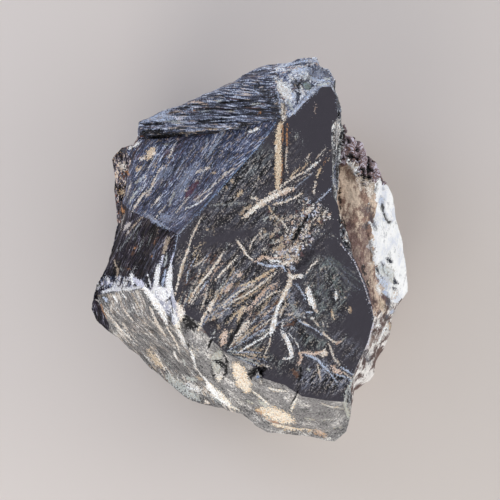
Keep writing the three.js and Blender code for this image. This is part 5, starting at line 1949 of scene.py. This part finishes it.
# Corrections of the stone's outline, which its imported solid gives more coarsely.
NUDGES = (
    Nudge((13.4, 18.4), (-1.5, -1.6), 2.8, ceiling=16.8),
    Nudge((15.2, 15.6), (-0.2, -0.1), ceiling=16.8),
    Nudge((19.8, 11.6), (-0.5, -0.4), 2.2),
    Nudge((-2.6, -22.8), (0.0, -0.35), 1.8),
    Nudge((17.0, -17.6), (0.4, -0.3), 2.0),
    Nudge((0.4, 25.9), (-0.1, 0.25)),
    Nudge((-20.6, -0.5), (0.2, -0.05), 4.0),
    Nudge((-12.4, -18.4), (0.25, 0.3)),
    Nudge((-22.8, -6.9), (-0.25, 0.0)),
    Nudge((22.3, -1.1), (0.25, 0.0), 6.0),
    Nudge((8.2, 27.3), (0.0, 0.25)),
    Nudge((11.2, 25.0), (0.45, 0.15), 2.2),
    Nudge((1.6, -25.6), (-0.1, -0.25)),
    Nudge((-8.0, -21.8), (-0.15, -0.3)),
    Nudge((11.7, -26.6), (0.05, -0.25)),
)


@dataclass
class Stone:
    """The specimen: one skin with a finish for each way that the stone broke. Sizes are in millimetres."""

    chart: Chart
    board: Board
    coarse_sides: tuple[tuple[float, int], ...] = ((1.3, 6), (0.65, 4))  # each with its rounds of softening
    wall_side: float = 0.45
    back_side: float = 0.55  # on the border of the back's matrix
    back_growth: float = 0.9
    give: float = 0.1  # how far softening may move a corner
    calm: float = 1.1  # how far from the polished face the relief is whole
    calm_rounds: int = 12
    least_rise: float = 0.25  # how far a zone's mean normal has to point upwards
    facing: float = 0.2  # how far up a normal points where strokes show in full
    crack_shore: Pair = (-0.1, 0.3)
    vein_shore: Pair = (0.0, 0.12)
    foot: float = 1.0  # the height from which the relief is whole
    cloud_shore: Pair = (-1.4, 1.0)
    calm_shore: Pair = (-0.5, 0.4)
    sharp: float = math.radians(38.0)

    def build(self, node: bpy.types.Object) -> bpy.types.Object:
        """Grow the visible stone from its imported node.

        Args:
            node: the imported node.

        Returns:
            The stone.
        """
        skin = self.grow(Skin.from_node(node, self.chart))
        relief, grain = self.relief(skin), self.grain(skin)
        veins, cracks = (draw(strokes, skin.points[:, :2]) for strokes in (VEINS, CRACKS))
        facing = ramp(skin.point_normals()[:, 2], 0.0, self.facing)
        heights = relief - cracks.drop * ramp(cracks.level, *self.crack_shore) * facing
        heights -= veins.drop * ramp(veins.level, *self.vein_shore) * facing
        heights *= ramp(skin.points[:, 2], FOOT_LEVEL, self.foot)
        skin.points += skin.point_normals() * heights[:, None]
        stone = self.mesh(skin)
        put(stone.data, "relief", relief)
        put(stone.data, "grain", grain, "CORNER")
        for name, ink in (("vein", veins), ("crack", cracks)):
            put(stone.data, name, ink.level)
            put(stone.data, f"{name}_ragged", ink.ragged)
            put(stone.data, f"{name}_strength", ink.strength * facing)
        put(stone.data, "vein_colour", veins.colour)
        for name, values in zip(("cloud", "cloud_colour"), self.clouds(skin)):
            put(stone.data, name, values)
        return stone

    def grow(self, skin: Skin) -> Skin:
        """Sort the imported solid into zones, split it until it is fine enough, and round its facets off.

        Args:
            skin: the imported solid's skin.

        Returns:
            The same skin, grown.
        """
        sort_zones(skin)
        for side, rounds in self.coarse_sides:
            skin.refine(lambda centres, zones: np.maximum(side, ZONE_SIDES[zones] * (zones >= FIRST_HIDDEN)))
            self.soften(skin, rounds)
        bend_borders(skin)
        skin.refine(self.side_limit(self.board.reader()))
        bend_borders(skin)
        self.soften(skin, 1)
        LOG.info("skin of %d triangles", len(skin.faces))
        for nudge in NUDGES:
            nudge.move(skin)
        return skin

    def side_limit(
        self, drawn_side: Callable[[np.ndarray], np.ndarray]
    ) -> Callable[[np.ndarray, np.ndarray], np.ndarray]:
        """Make the limit of the last refinement, finer at the edges of strokes.

        Args:
            drawn_side: gives the longest side that the strokes allow, from points of the plan.

        Returns:
            A function that gives the longest side allowed, from triangle middles and zones.
        """

        def limit(centres: np.ndarray, zones: np.ndarray) -> np.ndarray:
            """Give the longest side allowed, in millimetres.

            Args:
                centres: triangle middles.
                zones: their zones.

            Returns:
                Sides in millimetres.
            """
            sides = ZONE_SIDES[zones]
            hidden = zones >= FIRST_HIDDEN
            lean = np.abs(back_lean(centres[hidden]))
            sides[hidden] = np.minimum(sides[hidden], self.back_side + self.back_growth * lean)
            drawn = drawn_side(centres[:, :2])
            drawn = np.where(zones == Zone.WALL.number, np.maximum(drawn, self.wall_side), drawn)
            return np.where(hidden, sides, np.minimum(sides, drawn))

        return limit

    def soften(self, skin: Skin, rounds: int) -> None:
        """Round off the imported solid's facets inside each zone, leaving the zones' borders as they are.

        Args:
            skin: the skin.
            rounds: how many times each corner moves towards its neighbours.
        """
        zone_low = np.full(len(skin.points), len(ZONES))
        zone_high = np.full(len(skin.points), -1)
        for i in range(3):
            np.minimum.at(zone_low, skin.faces[:, i], skin.zones)
            np.maximum.at(zone_high, skin.faces[:, i], skin.zones)
        free = (zone_low == zone_high) & (skin.points[:, 2] > FOOT_LEVEL)
        sides = np.unique(np.sort(skin.faces[:, SIDES].reshape(-1, 2), axis=1), axis=0)
        start = skin.points
        count = np.bincount(sides.ravel(), minlength=len(skin.points))[:, None]
        for _ in range(rounds):
            total = np.zeros_like(skin.points)
            np.add.at(total, sides[:, 0], skin.points[sides[:, 1]])
            np.add.at(total, sides[:, 1], skin.points[sides[:, 0]])
            skin.points = np.where(free[:, None], total / count, skin.points)
        shift = skin.points - start
        length = np.linalg.norm(shift, axis=1, keepdims=True)
        skin.points = start + shift * np.minimum(1.0, self.give / np.maximum(length, 1e-9))

    def frames(self, skin: Skin) -> Iterator[tuple[Zone, np.ndarray]]:
        """Lay the fibres' own axes on each zone.

        Args:
            skin: the skin.

        Yields:
            Each zone that the skin has, and its axes.
        """
        slants = skin.slants()
        for zone in (ZONES[number] for number in np.unique(skin.zones)):
            normal = slants[skin.of(zone)].sum(axis=0)
            normal[2] = max(normal[2], self.least_rise * np.linalg.norm(normal))
            yield zone, BREAKS[zone].frame(normal / np.linalg.norm(normal))

    def relief(self, skin: Skin) -> np.ndarray:
        """Work out every corner's height, a mean of the zones that meet there.

        Args:
            skin: the skin.

        Returns:
            Heights in millimetres.
        """
        total, weight = np.zeros(len(skin.points)), np.zeros(len(skin.points))
        for zone, axes in self.frames(skin):
            share = np.bincount(skin.faces[skin.of(zone)].ravel(), minlength=len(skin.points))
            own = np.flatnonzero(share)
            total[own] += share[own] * BREAKS[zone].height(skin.points[own] @ axes.T)
            weight += share
        return total / weight * self.calmness(skin)

    def calmness(self, skin: Skin) -> np.ndarray:
        """Keep the relief off the polished face, and let it rise over a short way from it.

        Args:
            skin: the skin.

        Returns:
            The share of its relief that each corner keeps.
        """
        distance = np.full(len(skin.points), self.calm)
        distance[skin.faces[skin.of(Zone.POLISH)].ravel()] = 0.0
        sides = skin.faces[:, SIDES].reshape(-1, 2)
        spans = np.linalg.norm(skin.points[sides[:, 0]] - skin.points[sides[:, 1]], axis=1)
        for _ in range(self.calm_rounds):
            np.minimum.at(distance, sides[:, 1], distance[sides[:, 0]] + spans)
            np.minimum.at(distance, sides[:, 0], distance[sides[:, 1]] + spans)
        return ramp(distance, -self.calm / 4, self.calm) * (distance > 0)

    def grain(self, skin: Skin) -> np.ndarray:
        """Measure every triangle corner along its own zone's fibres.

        Args:
            skin: the skin.

        Returns:
            Millimetres along and across the fibres, and out of the surface.
        """
        places = skin.points[skin.faces]
        grain = np.empty_like(places)
        for zone, axes in self.frames(skin):
            own = skin.of(zone)
            grain[own] = places[own] @ axes.T
        return grain.reshape(-1, 3)

    def clouds(self, skin: Skin) -> tuple[np.ndarray, np.ndarray]:
        """Work out how cloudy every corner is, and the clouds' colour.

        Args:
            skin: the finished skin.

        Returns:
            A share from 0 to 1 and a colour for every corner.
        """
        plan = skin.points[:, :2]
        shares = np.array([ramp(cloud.depth(plan), *self.cloud_shore) * cloud.strength for cloud in CLOUDS])
        calms = np.array([ramp(calm.depth(plan), *self.calm_shore) for calm in CALMS])
        tints = np.array([cloud.tint.value for cloud in CLOUDS])
        colour = shares.T @ tints / np.maximum(shares.sum(axis=0), 1e-3)[:, None]
        return shares.max(axis=0) * (1.0 - calms.max(axis=0)), colour

    def mesh(self, skin: Skin) -> bpy.types.Object:
        """Turn the skin into an object with its finishes.

        Args:
            skin: the finished skin.

        Returns:
            The object.
        """
        mesh = bpy.data.meshes.new("stone_skin")
        mesh.from_pydata(self.chart.metres(skin.points).tolist(), [], skin.faces.tolist())
        slots = np.zeros(len(ZONES), int)
        for place, finish in enumerate(FINISHES):
            mesh.materials.append(finish.dress())
            slots[[zone.number for zone in finish.zones]] = place
        mesh.polygons.foreach_set("material_index", slots[skin.zones])
        mesh.shade_smooth()
        mesh.set_sharp_from_angle(angle=self.sharp)
        return add_object("stone", mesh)


@dataclass(frozen=True)
class Softbox:
    """An area light aimed at the stone. Places and sizes are in stone lengths."""

    place: Triple
    size: float
    power: float
    colour: Colour
    power_unit: float = 100.0  # watts for a stone that is one metre long


@dataclass(frozen=True)
class Studio:
    """A pale floor, soft lights, and a camera straight above the stone."""

    chart: Chart
    length: float
    lights: tuple[Softbox, ...] = (
        Softbox((-3.5, 3.0, 3.2), 2.4, 0.62, linear("d5e0ff")),
        Softbox((-1.6, -4.2, 2.6), 2.6, 0.95, linear("fffaf2")),
        Softbox((4.4, 0.4, 2.6), 2.0, 0.25, linear("fffdf8")),
    )
    camera_place: Triple = (-0.1, 0.1, 422.0)
    lens: float = 201.6
    sensor: float = 36.0
    clip: Pair = (0.01, 100.0)
    floor_half: float = 18.0
    floor_colour: Colour = linear("d3cbc5")
    floor_roughness: float = 0.9
    sky: Colour = linear("e8eaee")
    zenith: Colour = linear("3a3b40")
    fade: Pair = (0.35, 0.95)  # between these heights of the sky its colour turns to the zenith's
    glow: float = 1.9

    def floor(self) -> None:
        """Lay the floor under the stone."""
        half = self.floor_half * self.length
        corners = [Vector((x * half, y * half, 0.0)) for x, y in ((-1, -1), (1, -1), (1, 1), (-1, 1))]
        mesh = bpy.data.meshes.new("floor")
        mesh.from_pydata([self.chart.middle + corner for corner in corners], [], [(0, 1, 2, 3)])
        tree = Tree(bpy.data.materials.new("floor"))
        mesh.materials.append(tree.close(tree.principled(self.floor_colour, self.floor_roughness)))
        add_object("floor", mesh)

    def light(self) -> None:
        """Hang the softboxes."""
        for number, box in enumerate(self.lights):
            lamp = bpy.data.lights.new(f"softbox_{number}", "AREA")
            lamp.shape = "SQUARE"
            lamp.size = box.size * self.length
            lamp.energy = box.power * self.length**2 * box.power_unit
            lamp.color = box.colour
            holder = add_object(lamp.name, lamp)
            holder.location = self.chart.middle + Vector(box.place) * self.length
            holder.rotation_euler = Vector(box.place).to_track_quat("Z", "Y").to_euler()

    def air(self) -> None:
        """Give the world a pale horizon and a darker zenith."""
        tree = Tree(bpy.data.worlds.new("studio"))
        place = tree.node("ShaderNodeTexCoord", out="Generated")
        height = tree.node("ShaderNodeSeparateXYZ", None, {0: place}, 2)
        fade = tree.node("ShaderNodeMapRange", None, {0: height, 1: self.fade[0], 2: self.fade[1]})
        sky = tree.mix(self.sky, self.zenith, fade)
        glow = tree.node("ShaderNodeBackground", None, {"Color": sky, "Strength": self.glow})
        bpy.context.scene.world = tree.close(glow, "ShaderNodeOutputWorld")

    def camera(self) -> None:
        """Set the camera straight above the stone."""
        eye = bpy.data.cameras.new("camera")
        eye.lens, eye.sensor_width = self.lens, self.sensor
        eye.clip_start, eye.clip_end = self.clip
        holder = add_object("camera", eye)
        holder.location = self.chart.middle + Vector(self.camera_place) * self.chart.unit
        bpy.context.scene.camera = holder

    def build(self) -> None:
        """Set up the studio."""
        self.floor()
        self.light()
        self.air()
        self.camera()
        bpy.context.scene.view_settings.view_transform = "Standard"


def main() -> None:
    """Build the stone and its studio."""
    logging.basicConfig(level=logging.INFO, format="%(message)s")
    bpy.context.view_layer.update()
    chart = Chart.of_box(*(Vector(corner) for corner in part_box(STONE_NODE)))
    stone = Stone(chart, Board(VEINS + CRACKS)).build(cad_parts[STONE_NODE])
    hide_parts(STONE_NODE)
    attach(stone, "root")
    LOG.info("stone: %d triangles, %d finishes", len(stone.data.polygons), len(stone.data.materials))
    Studio(chart, PLAN_LENGTH * chart.unit).build()
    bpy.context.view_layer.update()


if __name__ == "__main__":
    main()
